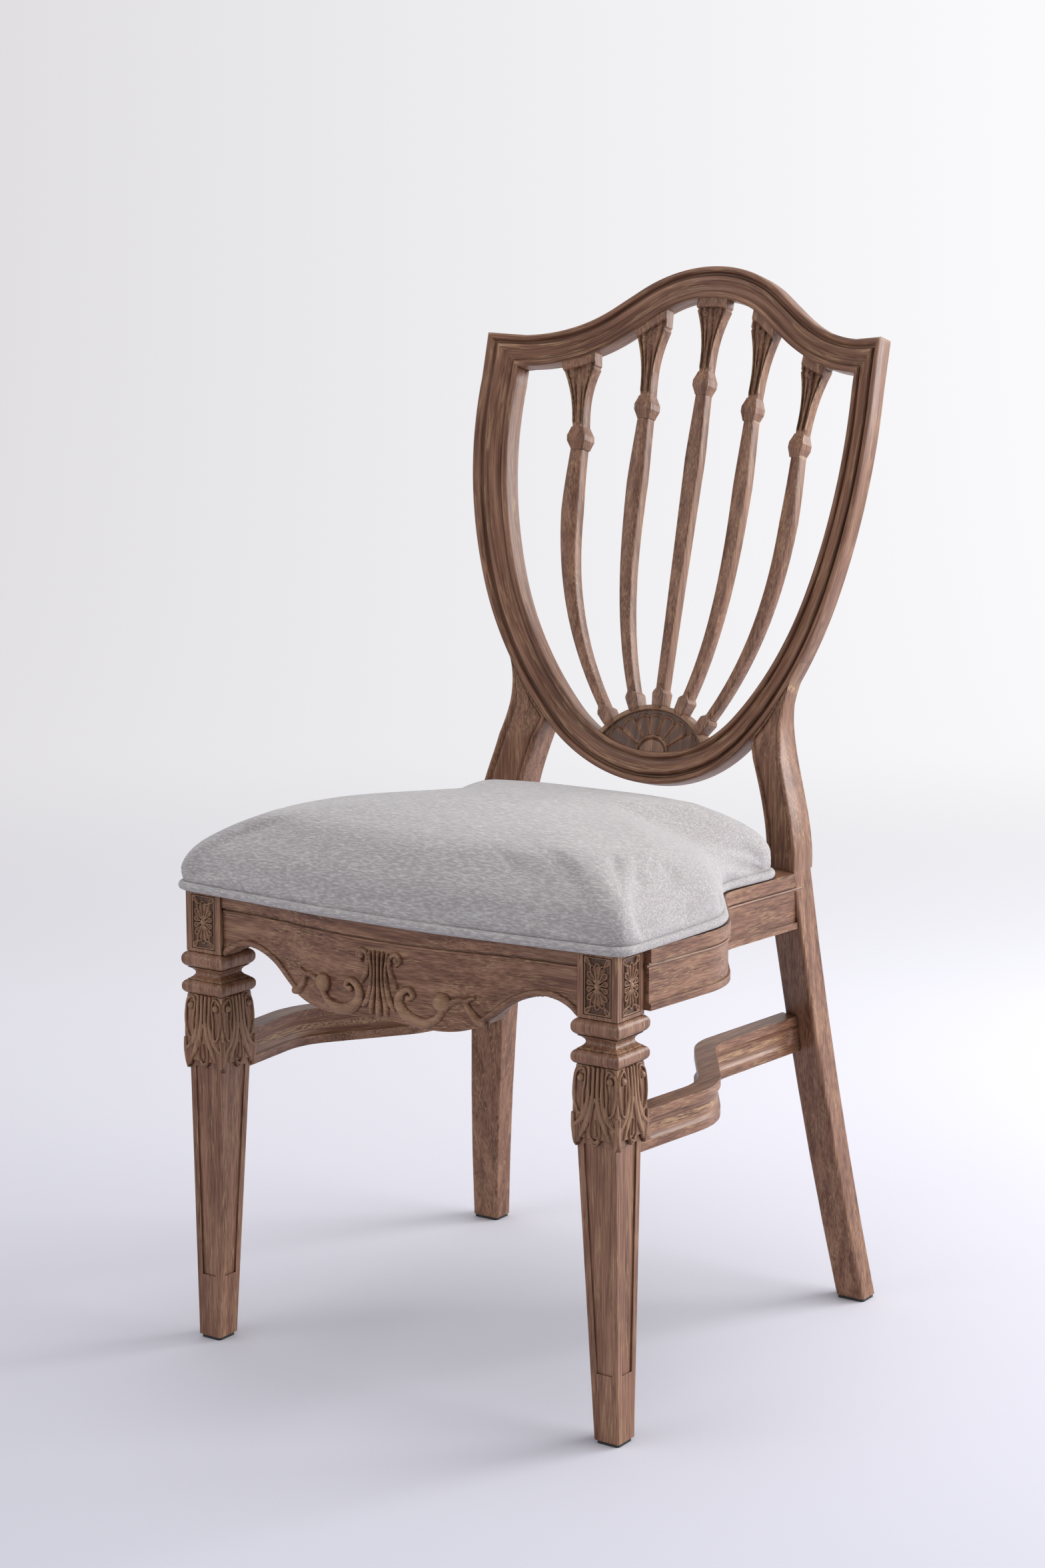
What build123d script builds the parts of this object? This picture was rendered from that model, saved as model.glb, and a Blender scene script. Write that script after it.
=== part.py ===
from build123d import *
import os
from math import cos, radians, sin, sqrt

# Shield-back dining chair, moulded to look like carved walnut, with a lift-off seat pad.
# Millimetres. The floor is z = 0, the chair faces -Y and is symmetric about X = 0.
# Depths are measured back from the face of the front leg blocks, heights from the floor.
os.makedirs("parts", exist_ok=True)

# Fits
GLUE_LINE = 0.1  # gap between glued pieces of the back
FIT = 0.1  # room round a dowel, a screw or a tenon
PAD_GAP = 0.3  # air between the seat pad and the frame

# Seat frame
SEAT_TOP = 417.0  # top of the seat rails
RAIL_HEIGHT = 52.0
RAIL_THICK = 24.0
BEAD_PROUD = 2.0  # cap and base beads stand this far out of the rails
CAP_HEIGHT = 12.0
BASE_BEAD_HEIGHT = 6.0
RAIL_FRONT_X = 219.0  # centre line of a side rail at the front leg
RAIL_SWELL_X = 230.0  # at the outward swell
RAIL_SWELL_Y = 148.0
RAIL_SWELL_R = 75.0
RAIL_WAIST_X = 158.0  # at the waist
RAIL_WAIST_Y = 254.0
RAIL_WAIST_R = 60.0
RAIL_REAR_X = 170.5  # and where it would reach the rear foot
REAR_RAIL_Y = 391.5  # front face of the rear rail, between the rear legs
REAR_RAIL_THICK = 20.0

# Side stretchers follow the rails, a little further in
STRETCHER_BOTTOM = 245.0
STRETCHER_HEIGHT = 34.0
STRETCHER_THICK = 19.0
STRETCHER_SET_IN = 3.0
FLUTE_HEIGHT = 18.0
FLUTE_DEPTH = 2.5

# Front legs
BLOCK = 39.5  # side of the square block
LEG_OUTER_X = 228.4
BLOCK_HEIGHT = 55.0
PANEL_DEPTH = 1.5  # rosette panels and shaft panels
PANEL_MARGIN = 6.0
UPPER_RING_HEIGHT = 15.0
LOWER_RING_HEIGHT = 13.0
RING_PROUD = 3.6
COVE_HEIGHT = 11.0
COVE_INSET = 5.4
LEAF_HEIGHT = 60.0
LEAF_PROUD = 2.2
FOOT_HEIGHT = 61.0
FOOT_WIDTH = 23.5
FOOT_DEPTH = 23.7
FOOT_SET_BACK = 6.5
SHAFT_WIDTH = 38.5
SHAFT_DEPTH = 36.5
SHAFT_INSET = 1.0  # outer and front faces of the shaft behind those of the block
GLIDE_THICK = 3.0
GLIDE_INSET = 1.0

# Front apron
APRON_SET_BACK = 4.0  # at the leg blocks
APRON_BOW = 20.0  # swell of the middle beyond the ends
APRON_BOW_X = 95.0  # where the swell turns from hollow to full
APRON_BACK_Y = 26.0
ARCH_SPRING_Z = 360.0  # lower edge at the leg blocks
ARCH_TOP_X = 157.0
ARCH_TOP_Z = 374.0
NIB_X = 97.0  # end of the arch beside the middle ornament
NIB_Z = 341.0
LOBE_X = 58.0
LOBE_Z = 333.0
APRON_MIDDLE_Z = 338.0

# Rear legs, at the floor and at the seat
REAR_FOOT_OUTER_X = 226.5
REAR_FOOT_WIDTH = 29.5
REAR_FOOT_Y = 430.0
REAR_FOOT_DEPTH = 24.0
REAR_TOP_OUTER_X = 178.0
REAR_TOP_WIDTH = 38.0
REAR_TOP_DEPTH = 33.0
REAR_SWEEP = 8.0  # bend of the leg, forward of a straight line
REAR_SECTIONS = 6  # sections that the bend is drawn through
STILE_ROUND = 3.0  # rounding of the long edges

# Uprights between the rear legs and the shield
UPRIGHT_SHOULDER_Z = 458.0
UPRIGHT_SHOULDER_OUTER_X = 174.0
UPRIGHT_SHOULDER_INNER_X = 137.0
UPRIGHT_WAIST_Z = 535.0
UPRIGHT_WAIST_WIDTH = 39.8
UPRIGHT_WAIST_OUT = 40.5  # outer edge beyond the belly of the shield
UPRIGHT_TOP_Z = 606.0
UPRIGHT_TOP_WIDTH = 71.0
UPRIGHT_TOP_OUT = 52.7
UPRIGHT_THICK = 21.0
UPRIGHT_SET_BACK = 2.0  # behind the face of the shield

# Back: a sheet that curves in plan and leans back
RAKE = 13.9
BACK_CURVE_R = 445.0
BACK_Y = 404.5  # middle of the fan, the origin of the heights up the sheet
BACK_Z = 512.3
RIM_WIDTH = 30.5
RIM_THICK = 21.0
SHIELD_HALF_WIDTH = 216.0
SHIELD_CORNER = 385.0
CREST_TOP = 464.0
CREST_ARCH_X = 78.0
CREST_ARCH_DROP = 26.0
CREST_SLOPE_RUN = 32.0
CREST_SHOULDER_RUN = 18.0
SHIELD_SIDE = 340.0
SHIELD_FLANK_X = 0.88 * SHIELD_HALF_WIDTH
SHIELD_FLANK = 145.0
SHIELD_BELLY_X = 0.52 * SHIELD_HALF_WIDTH
SHIELD_BELLY = 14.0
SHIELD_BOTTOM = -34.5
BEAD_WIDTH = 6.0  # outer bead of the rim
GROOVE_WIDTH = 3.0
GROOVE_DEPTH = 3.0
HOLLOW_WIDTH = 13.0
HOLLOW_DEPTH = 1.5

# Fan
FAN_TOP = 41.0
FAN_R = 72.0
FAN_SET_BACK = 3.0
FAN_THICK = 15.0
FAN_BAND = 5.0
FAN_FIELD_DEPTH = 2.5
FAN_DISC_TOP = 8.0
FAN_DISC_R = 26.0

# Balusters: places across and up the sheet, half widths and depths
INNER_TOP_X = 59.0
INNER_FOOT_X = 25.0
INNER_KNOP = 326.0
INNER_BEND = 3.3
INNER_LEAN = 0.06
OUTER_TOP_X = 122.0
OUTER_FOOT_X = 50.0
OUTER_KNOP = 291.0
OUTER_BEND = 2.7
OUTER_LEAN = 0.12
CENTRE_KNOP = 351.0
BALUSTER_SET_BACK = 3.0
BALUSTER_DEPTH = 14.0
FOOT_HALF = 4.6
SWELL_HALF = 8.3
SWELL_DROP = 60.0  # below the knop
NECK_HALF = 5.6
NECK_RISE = 24.0  # above the knop, where the capital starts
CAPITAL_HALF = 16.5
CAPITAL_RISE = 84.0  # above the knop, where the capital is widest
KNOP_HALF = 8.6
KNOP_HEIGHT = 22.0
KNOP_DEPTH = 19.0
COLLAR_HALF = 7.5
COLLAR_HEIGHT = 16.0
COLLAR_DEPTH = 18.0
TENON_HALF = 3.0
TENON_LENGTH = 8.0
TENON_DEPTH = 7.0

# Dowels, corner blocks and screws
DOWEL_R = 4.0
DOWEL_LENGTH = 36.0
SMALL_DOWEL_R = 3.0
SMALL_DOWEL_LENGTH = 20.0
BOW_DOWEL_LOW = 0.04  # places along the flank of the shield
BOW_DOWEL_HIGH = 0.2
CORNER_BLOCK_LEG = 45.0  # length along each rail
CORNER_BLOCK_HEIGHT = 27.0
CORNER_BLOCK_DROP = 9.0  # below the top of the rails
SCREW_R = 2.5
SCREW_LENGTH = 40.0
SCREW_GRIP = 14.0  # of it in a front corner block
REAR_SCREW_GRIP = 24.0  # of it in a rear one, as the rear rail is thin
SCREW_HEAD_R = 5.0
SCREW_HEAD_HEIGHT = 3.0

# Seat pad: plan outline at the piping, then its layers
PAD_FRONT_X = 55.0
PAD_OVERHANG = 3.0  # beyond the swell of the apron
PAD_CORNER_X = 234.0
PAD_CORNER_Y = -3.0
PAD_SWELL_X = 239.0
PAD_WAIST_X = 167.0
PAD_REAR_X = 176.0
PAD_REAR_Y = 346.0
PAD_REAR_BOW = 24.0
PAD_REAR_BOW_X = 80.0
PAD_CENTRE_Y = 165.0  # plan scales are taken about this point
PAD_BULGE = 1.02  # plan scale at the fattest level
PAD_CROWN = 71.0  # crown above the board's underside
PIPING_R = 4.0
STRIP_THICK = 1.5
STRIP_WIDTH = 18.0
STRIP_LENGTH = 70.0
STRIP_SET_IN = 7.0  # from the rail's centre line
CLOTH_THICK = 0.8
BOARD_THICK = 9.0
COVER_THICK = 2.5
# Levels of the stuffed form: share of the crown's height, and plan scale
PAD_LEVELS = [(0, 0.972), (0.25, PAD_BULGE), (0.5, 1.01), (0.72, 0.93), (0.9, 0.69), (1, 0.3)]
PAD_FRONT_R = 300.0
PAD_CORNER_R = 24.0
PAD_SWELL_R = 70.0
PAD_WAIST_R = 60.0
PAD_REAR_R = 22.0
PAD_REAR_BOW_R = 180.0

# Planes to sketch on. The origin is the middle of the chair's footprint on the floor
sin_rake = sin(radians(RAKE))
cos_rake = cos(radians(RAKE))
pad_front_y = APRON_SET_BACK - APRON_BOW - PAD_OVERHANG
reach_front = min(PAD_CENTRE_Y - (PAD_CENTRE_Y - pad_front_y) * PAD_BULGE, pad_front_y - PIPING_R)
reach_back = BACK_Y + CREST_TOP * sin_rake + RIM_THICK * cos_rake
y_mid = (reach_front + reach_back) / 2
PLAN = Plane((0, -y_mid, 0))
FRONT = Plane((0, -y_mid, 0), x_dir=(1, 0, 0), z_dir=(0, -1, 0))
BACK = Plane((0, BACK_Y - y_mid, BACK_Z), x_dir=(1, 0, 0), z_dir=(0, -cos_rake, sin_rake))
ACROSS = Plane(BACK.origin, x_dir=(1, 0, 0), z_dir=(0, sin_rake, cos_rake))
THROUGH = 2 * BACK_CURVE_R / 3  # reach of a blank through the back

# Heights and places that several pieces share
rail_bottom = SEAT_TOP - RAIL_HEIGHT
leg_x = LEG_OUTER_X - BLOCK / 2
block_inner_x = LEG_OUTER_X - BLOCK
block_z = SEAT_TOP - BLOCK_HEIGHT
upper_ring_z = block_z - UPPER_RING_HEIGHT
cove_z = upper_ring_z - COVE_HEIGHT
lower_ring_z = cove_z - LOWER_RING_HEIGHT
leaf_z = lower_ring_z - LEAF_HEIGHT
rear_rail_back = REAR_RAIL_Y + REAR_RAIL_THICK
corner_block_z = SEAT_TOP - CORNER_BLOCK_DROP - CORNER_BLOCK_HEIGHT
cap_z = SEAT_TOP - CAP_HEIGHT
cloth_z = SEAT_TOP + STRIP_THICK + PAD_GAP + STRIP_THICK
board_z = cloth_z + CLOTH_THICK
foam_z = board_z + BOARD_THICK


def save(name, piece):
    """Label a finished piece and write it to its own file."""
    piece.label = name
    export_step(piece, f"parts/{name}.step")


def save_pair(name, right):
    """Save a right-hand piece and its mirror image."""
    save(f"{name}_right", right)
    with BuildPart() as left:
        mirror(right, about=Plane.YZ)
    save(f"{name}_left", left.part)


def save_group(name, right_pieces):
    """Save several separate solids and their mirror images as one node."""
    with BuildPart() as several:
        for piece in right_pieces:
            add(piece)
        mirror(several.part, about=Plane.YZ)
    save(name, several.part)


def place(x, y, z, direction):
    """Plane at a point of the chair, with its normal along a direction."""
    return Plane((x, y - y_mid, z), z_dir=direction)


def back_depth(x):
    """Depth of the curved sheet behind its middle, at a distance across."""
    return sqrt(BACK_CURVE_R**2 - x**2) - BACK_CURVE_R


def place_on_back(x, height, depth, across, up):
    """Plane in the thickness of the back, with its normal running across and up the sheet."""
    origin = BACK.from_local_coords((x, height, -back_depth(x) - depth))
    slope = -x / sqrt(BACK_CURVE_R**2 - x**2)
    direction = BACK.from_local_coords((across, up, -slope * across)) - BACK.origin
    return Plane(origin, z_dir=direction)


def pin(plane, radius, length):
    """Round bar centred on a plane, along its normal."""
    with BuildPart() as bar:
        with BuildSketch(plane.offset(-length / 2)):
            Circle(radius)
        extrude(amount=length)
    return bar.part


def dowels_at(planes, radius, length):
    """Dowels with chamfered ends, and the holes that take them."""
    dowels = []
    for plane in planes:
        with BuildPart() as dowel:
            add(pin(plane, radius, length))
            chamfer(dowel.edges().filter_by(GeomType.CIRCLE), radius / 5)
        dowels.append(dowel.part)
    return dowels, [pin(plane, radius + FIT, length + 2 * FIT) for plane in planes]


def cut(piece, *tools):
    """Take other solids out of a piece."""
    with BuildPart() as result:
        add(piece)
        for tool in tools:
            add(tool, mode=Mode.SUBTRACT)
    return result.part


def common(piece, *others):
    """Keep what a piece shares with other solids."""
    with BuildPart() as result:
        add(piece)
        for other in others:
            add(other, mode=Mode.INTERSECT)
    return result.part


# Places of the dowels and screws, on the right of the chair
rail_mid = SEAT_TOP - RAIL_HEIGHT / 2
apron_mid_y = (APRON_SET_BACK + APRON_BACK_Y) / 2
rail_dowel_heights = (rail_mid - RAIL_HEIGHT / 8, rail_mid + RAIL_HEIGHT / 4)
rear_leg_y = BACK_Y + UPRIGHT_SET_BACK + back_depth(REAR_TOP_OUTER_X)
rear_leg_x = REAR_TOP_OUTER_X - REAR_TOP_WIDTH / 2
rear_leg_mid_y = BACK_Y + UPRIGHT_SET_BACK + back_depth(rear_leg_x) + REAR_TOP_DEPTH / 2
apron_dowels, apron_holes = dowels_at(
    [place(block_inner_x, apron_mid_y, z, (1, 0, 0)) for z in rail_dowel_heights], DOWEL_R, DOWEL_LENGTH
)
front_dowels, front_holes = dowels_at(
    [place(RAIL_FRONT_X - DOWEL_R, BLOCK, z, (0, 1, 0)) for z in rail_dowel_heights], DOWEL_R, DOWEL_LENGTH
)
rear_dowels, rear_holes = dowels_at(
    [place(RAIL_REAR_X, rear_leg_y + DOWEL_R, z, (0, 1, 0)) for z in rail_dowel_heights],
    DOWEL_R,
    SMALL_DOWEL_LENGTH,
)
back_rail_dowels, back_rail_holes = dowels_at(
    [place(rear_leg_x - REAR_TOP_WIDTH / 2, rear_rail_back - 2 * DOWEL_R, rail_mid, (1, 0, 0))],
    DOWEL_R,
    SMALL_DOWEL_LENGTH,
)
stile_dowels, stile_holes = dowels_at(
    [place(rear_leg_x, rear_leg_mid_y, SEAT_TOP, (0, 0, 1))], DOWEL_R, DOWEL_LENGTH
)

# Front leg: block, rings and cove, leaf bell and tapered shaft with sunk panels


def shaft_rectangle(z):
    """Middle, width and depth of the front leg's shaft at a height."""
    share = z / leaf_z
    width = FOOT_WIDTH + (SHAFT_WIDTH - FOOT_WIDTH) * share
    depth = FOOT_DEPTH + (SHAFT_DEPTH - FOOT_DEPTH) * share
    set_back = FOOT_SET_BACK + (SHAFT_INSET - FOOT_SET_BACK) * share
    return Vector(LEG_OUTER_X - SHAFT_INSET - width / 2, set_back + depth / 2), width, depth


def leg_ring(bottom, height):
    """Square ring with a half-round edge."""
    with BuildPart() as ring:
        with BuildSketch(PLAN.offset(bottom)):
            with Locations((leg_x, BLOCK / 2)):
                Rectangle(BLOCK + 2 * RING_PROUD, BLOCK + 2 * RING_PROUD)
        extrude(amount=height)
        fillet(ring.edges().filter_by(Axis.Z, reverse=True), radius=0.45 * height)
    return ring.part


def square_bell(levels):
    """Smooth square turning through heights and half widths about the block's axis."""
    with BuildPart() as bell:
        for height, half in levels:
            with BuildSketch(PLAN.offset(height)):
                with Locations((leg_x, BLOCK / 2)):
                    Rectangle(2 * half, 2 * half)
        loft()
    return bell.part


def shaft_panel(face_x, face_y):
    """Tapered blank that sinks a panel into one face of the shaft."""
    with BuildPart() as blank:
        for height in (FOOT_HEIGHT, leaf_z - PANEL_MARGIN):
            middle, width, depth = shaft_rectangle(height)
            across = width - 2 * PANEL_MARGIN if face_y else 2 * PANEL_DEPTH
            along = depth - 2 * PANEL_MARGIN if face_x else 2 * PANEL_DEPTH
            with BuildSketch(PLAN.offset(height)):
                with Locations((middle.X + face_x * width / 2, middle.Y + face_y * depth / 2)):
                    Rectangle(across, along)
        loft(ruled=True)
    return blank.part


front_screw = Plane(
    (block_inner_x - FIT, BLOCK + FIT - y_mid, corner_block_z + CORNER_BLOCK_HEIGHT / 2), z_dir=(1, -1, 0)
).offset(-SCREW_GRIP)
rings = [leg_ring(upper_ring_z, UPPER_RING_HEIGHT), leg_ring(lower_ring_z, LOWER_RING_HEIGHT)]
cove = square_bell(
    [(cove_z, BLOCK / 2), (cove_z + COVE_HEIGHT / 2, BLOCK / 2 - COVE_INSET), (upper_ring_z, BLOCK / 2)]
)
leaf_bell = square_bell(
    [
        (leaf_z, BLOCK / 2 + 0.7 * LEAF_PROUD),
        (leaf_z + 0.35 * LEAF_HEIGHT, BLOCK / 2 + LEAF_PROUD),
        (lower_ring_z, BLOCK / 2),
    ]
)
panels = [shaft_panel(*face) for face in ((0, -1), (0, 1), (1, 0), (-1, 0))]
front_screw_hole = pin(front_screw, SCREW_R + FIT, 2 * (SCREW_LENGTH + FIT))
front_head_room = pin(front_screw.offset(-SCREW_LENGTH / 2), SCREW_HEAD_R + FIT, SCREW_LENGTH)
with BuildPart() as front_leg:
    with BuildSketch(PLAN.offset(block_z)):
        with Locations((leg_x, BLOCK / 2)):
            Rectangle(BLOCK, BLOCK)
    extrude(amount=BLOCK_HEIGHT)
    for face in (FRONT, Plane((LEG_OUTER_X, -y_mid, 0), x_dir=(0, 1, 0), z_dir=(1, 0, 0))):
        across = leg_x if face is FRONT else BLOCK / 2
        with BuildSketch(face):
            with Locations((across, block_z + BLOCK_HEIGHT / 2)):
                Rectangle(BLOCK - 2 * PANEL_MARGIN, BLOCK_HEIGHT - PANEL_MARGIN)
        extrude(amount=PANEL_DEPTH, both=True, mode=Mode.SUBTRACT)
    for height in (GLIDE_THICK, leaf_z):
        middle, width, depth = shaft_rectangle(height)
        with BuildSketch(PLAN.offset(height)):
            with Locations((middle.X, middle.Y)):
                Rectangle(width, depth)
    loft(ruled=True)
    for tool in panels:
        add(tool, mode=Mode.SUBTRACT)
    for turning in [*rings, cove, leaf_bell]:
        add(turning)
    for tool in [*apron_holes, *front_holes, front_screw_hole]:
        add(tool, mode=Mode.SUBTRACT)
save_pair("front_leg", front_leg.part)

# Rear leg: plain, swept back and out to the foot


def rear_leg_section(share, grow=0):
    """Section of a rear leg, from the floor (0) to the seat (1), its front face widened by grow."""
    width = REAR_FOOT_WIDTH + (REAR_TOP_WIDTH - REAR_FOOT_WIDTH) * share
    depth = REAR_FOOT_DEPTH + (REAR_TOP_DEPTH - REAR_FOOT_DEPTH) * share + grow
    height = GLIDE_THICK + (SEAT_TOP - GLIDE_THICK) * share
    turn = back_depth(REAR_TOP_OUTER_X - REAR_TOP_WIDTH) - back_depth(REAR_TOP_OUTER_X)
    skew = turn * share / width
    outer_x = REAR_FOOT_OUTER_X + (REAR_TOP_OUTER_X - REAR_FOOT_OUTER_X) * share + grow
    inner_x = outer_x - width - 2 * grow
    sweep_back = REAR_SWEEP * 4 * share * (1 - share)
    outer_y = REAR_FOOT_Y + (rear_leg_y - REAR_FOOT_Y) * share - sweep_back - skew * grow
    inner_y = outer_y + skew * (width + 2 * grow)
    with BuildSketch(PLAN.offset(height)) as section:
        with BuildLine():
            FilletPolyline(
                (inner_x, inner_y),
                (outer_x, outer_y),
                (outer_x, outer_y + depth),
                (inner_x, inner_y + depth),
                radius=STILE_ROUND,
                close=True,
            )
        make_face()
    return section.sketch


rear_leg_shares = [step / REAR_SECTIONS for step in range(REAR_SECTIONS + 1)]
rear_leg_form = loft([rear_leg_section(share) for share in rear_leg_shares], ruled=True)
behind_rear_leg = loft(
    [rear_leg_section(share, grow=2 * RAIL_THICK) for share in rear_leg_shares], ruled=True
)

# Side rails and stretchers: bent bars between the front and rear legs


def side_path(set_in, start):
    """Centre line of a side rail or stretcher in plan, running into both legs."""
    with BuildLine() as path:
        FilletPolyline(
            (RAIL_FRONT_X - set_in, start),
            (RAIL_SWELL_X - set_in, RAIL_SWELL_Y),
            (RAIL_WAIST_X - set_in, RAIL_WAIST_Y),
            (RAIL_REAR_X - set_in, REAR_FOOT_Y),
            radius=[RAIL_SWELL_R, RAIL_WAIST_R],
        )
    return path.line


def bent_bar(path, bottom, layers):
    """Bar along a path in plan, in layers of a height and a width from its bottom upwards."""
    with BuildPart() as bar:
        for height, width in layers:
            with BuildSketch(PLAN.offset(bottom)):
                trace(path, line_width=width)
            extrude(amount=height)
            bottom += height
    return bar.part


beaded = RAIL_THICK + 2 * BEAD_PROUD
rail_layers = [
    (BASE_BEAD_HEIGHT, beaded),
    (RAIL_HEIGHT - BASE_BEAD_HEIGHT - CAP_HEIGHT, RAIL_THICK),
    (CAP_HEIGHT, beaded),
]
lip = (STRETCHER_HEIGHT - FLUTE_HEIGHT) / 2
stretcher_layers = [
    (lip, STRETCHER_THICK),
    (FLUTE_HEIGHT, STRETCHER_THICK - 2 * FLUTE_DEPTH),
    (lip, STRETCHER_THICK),
]
with BuildPart() as front_leg_zone:
    with BuildSketch(PLAN.offset(rail_bottom)):
        with Locations((leg_x, 0)):
            Rectangle(4 * BLOCK, 2 * BLOCK)
    extrude(amount=RAIL_HEIGHT)
rail_bar = bent_bar(side_path(0, BLOCK / 2), rail_bottom, rail_layers)
rail_form = cut(rail_bar, front_leg_zone.part, behind_rear_leg)
stretcher_path = side_path(STRETCHER_SET_IN, BLOCK - PANEL_MARGIN)
stretcher_form = bent_bar(stretcher_path, STRETCHER_BOTTOM, stretcher_layers)
side_rail = cut(rail_form, *front_holes, *rear_holes)
side_stretcher = cut(stretcher_form, front_leg.part, behind_rear_leg)
save_pair("side_rail", side_rail)
save_pair("side_stretcher", side_stretcher)

# Rear rail: straight, between the rear legs
rear_screw = place(
    RAIL_WAIST_X - RAIL_THICK / 2 - CORNER_BLOCK_LEG / 2,
    REAR_RAIL_Y - REAR_SCREW_GRIP,
    corner_block_z + CORNER_BLOCK_HEIGHT / 2,
    (0, 1, 0),
)
rear_screw_hole = pin(rear_screw, SCREW_R + FIT, 2 * (SCREW_LENGTH + FIT))
rear_head_room = pin(rear_screw.offset(-SCREW_LENGTH), SCREW_HEAD_R + FIT, 2 * SCREW_LENGTH)
rear_rail_end = REAR_TOP_OUTER_X - 0.75 * REAR_TOP_WIDTH
with BuildPart() as rear_rail_form:
    with BuildSketch(PLAN.offset(rail_bottom)):
        with Locations((0, (REAR_RAIL_Y + rear_rail_back) / 2)):
            Rectangle(2 * rear_rail_end, REAR_RAIL_THICK)
    extrude(amount=RAIL_HEIGHT)
left_leg_form = mirror(rear_leg_form, about=Plane.YZ)
rear_rail_holes = [*back_rail_holes, rear_screw_hole]
left_rear_rail_holes = [mirror(hole, about=Plane.YZ) for hole in rear_rail_holes]
rear_rail = cut(
    rear_rail_form.part, rear_leg_form, left_leg_form, *rear_rail_holes, *left_rear_rail_holes
)
save("rear_rail", rear_rail)

# Front apron: bowed in plan, arched along its lower edge, with a cap strip


def apron_plan(proud):
    """Plan of the apron, its bowed face standing out by proud."""
    with BuildSketch() as plan:
        with BuildLine() as half:
            end = (block_inner_x, APRON_SET_BACK - proud)
            turn = (APRON_BOW_X, APRON_SET_BACK - APRON_BOW / 2 - proud)
            hollow = TangentArc(end, turn, tangent=(-1, 0))
            full = TangentArc(turn, (0, APRON_SET_BACK - APRON_BOW - proud), tangent=hollow % 1)
            Polyline(end, (block_inner_x, APRON_BACK_Y), (0, APRON_BACK_Y), full @ 1, close=False)
        make_face()
        mirror(about=Plane.YZ)
    return plan.sketch


with BuildPart() as apron_outline:
    with BuildSketch(FRONT):
        with BuildLine():
            arch = TangentArc((ARCH_TOP_X, ARCH_TOP_Z), (block_inner_x, ARCH_SPRING_Z), tangent=(1, 0))
            ogee = TangentArc((ARCH_TOP_X, ARCH_TOP_Z), (NIB_X, NIB_Z), tangent=(-1, 0))
            scroll = TangentArc((LOBE_X, LOBE_Z), ogee @ 1, tangent=(1, 0))
            middle = TangentArc((LOBE_X, LOBE_Z), (0, APRON_MIDDLE_Z), tangent=(-1, 0))
            Polyline(arch @ 1, (block_inner_x, SEAT_TOP), (0, SEAT_TOP), middle @ 1, close=False)
        make_face()
        mirror(about=Plane.YZ)
    extrude(amount=2 * BLOCK, both=True)
left_front_leg = mirror(front_leg.part, about=Plane.YZ)
left_apron_holes = [mirror(hole, about=Plane.YZ) for hole in apron_holes]
with BuildPart() as front_apron:
    with BuildSketch(PLAN.offset(LOBE_Z)):
        add(apron_plan(0))
    extrude(amount=SEAT_TOP - LOBE_Z)
    with BuildSketch(PLAN.offset(cap_z)):
        add(apron_plan(BEAD_PROUD))
    extrude(amount=CAP_HEIGHT)
    add(apron_outline.part, mode=Mode.INTERSECT)
    for tool in [front_leg.part, left_front_leg, *apron_holes, *left_apron_holes]:
        add(tool, mode=Mode.SUBTRACT)
save("front_apron", front_apron.part)

# Corner blocks, screwed to the legs


def corner_prism(*corners):
    """Three-sided block under the seat."""
    with BuildPart() as prism:
        with BuildSketch(PLAN.offset(corner_block_z)):
            with BuildLine():
                Polyline(*corners, close=True)
            make_face()
        extrude(amount=CORNER_BLOCK_HEIGHT)
    return prism.part


def screw(plane):
    """Screw along a plane's normal, its head seated on the plane."""
    with BuildPart() as body:
        with BuildSketch(plane):
            Circle(SCREW_R)
        extrude(amount=SCREW_LENGTH)
        with BuildSketch(plane):
            Circle(SCREW_HEAD_R)
        extrude(amount=-SCREW_HEAD_HEIGHT)
    return body.part


front_corner = corner_prism(
    (block_inner_x - CORNER_BLOCK_LEG, APRON_BACK_Y),
    (RAIL_FRONT_X, APRON_BACK_Y),
    (RAIL_FRONT_X, BLOCK + CORNER_BLOCK_LEG),
)
rear_corner = corner_prism(
    (RAIL_REAR_X, REAR_RAIL_Y - CORNER_BLOCK_LEG - RAIL_THICK),
    (RAIL_REAR_X, REAR_RAIL_Y),
    (RAIL_WAIST_X - CORNER_BLOCK_LEG - RAIL_THICK, REAR_RAIL_Y),
)
front_corner_block = cut(front_corner, front_leg.part, rail_form, *apron_holes, *front_holes)
front_corner_block = cut(front_corner_block, front_screw_hole, front_head_room)
rear_corner_block = cut(rear_corner, behind_rear_leg, rail_form, rear_screw_hole, rear_head_room)
save_pair("corner_block_front", front_corner_block)
save_pair("corner_block_rear", rear_corner_block)
save_group("corner_screws", [screw(front_screw), screw(rear_screw)])
save_group("rail_dowels", [*apron_dowels, *front_dowels, *rear_dowels, *back_rail_dowels])
save_group("back_dowels", stile_dowels)
rear_leg = cut(rear_leg_form, *rear_holes, *back_rail_holes, *stile_holes)
save_pair("rear_leg", rear_leg)

# Foot glides
with BuildPart() as glides:
    middle, width, depth = shaft_rectangle(GLIDE_THICK)
    rear_middle = (REAR_FOOT_OUTER_X - REAR_FOOT_WIDTH / 2, REAR_FOOT_Y + REAR_FOOT_DEPTH / 2)
    feet = [((middle.X, middle.Y), width, depth), (rear_middle, REAR_FOOT_WIDTH, REAR_FOOT_DEPTH)]
    with BuildSketch(PLAN):
        for centre, width, depth in feet:
            with Locations(centre):
                RectangleRounded(width - 2 * GLIDE_INSET, depth - 2 * GLIDE_INSET, STILE_ROUND)
    extrude(amount=GLIDE_THICK)
save_group("foot_glides", [glides.part])

# Back: layers, bands and blanks that its pieces are cut from


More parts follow.
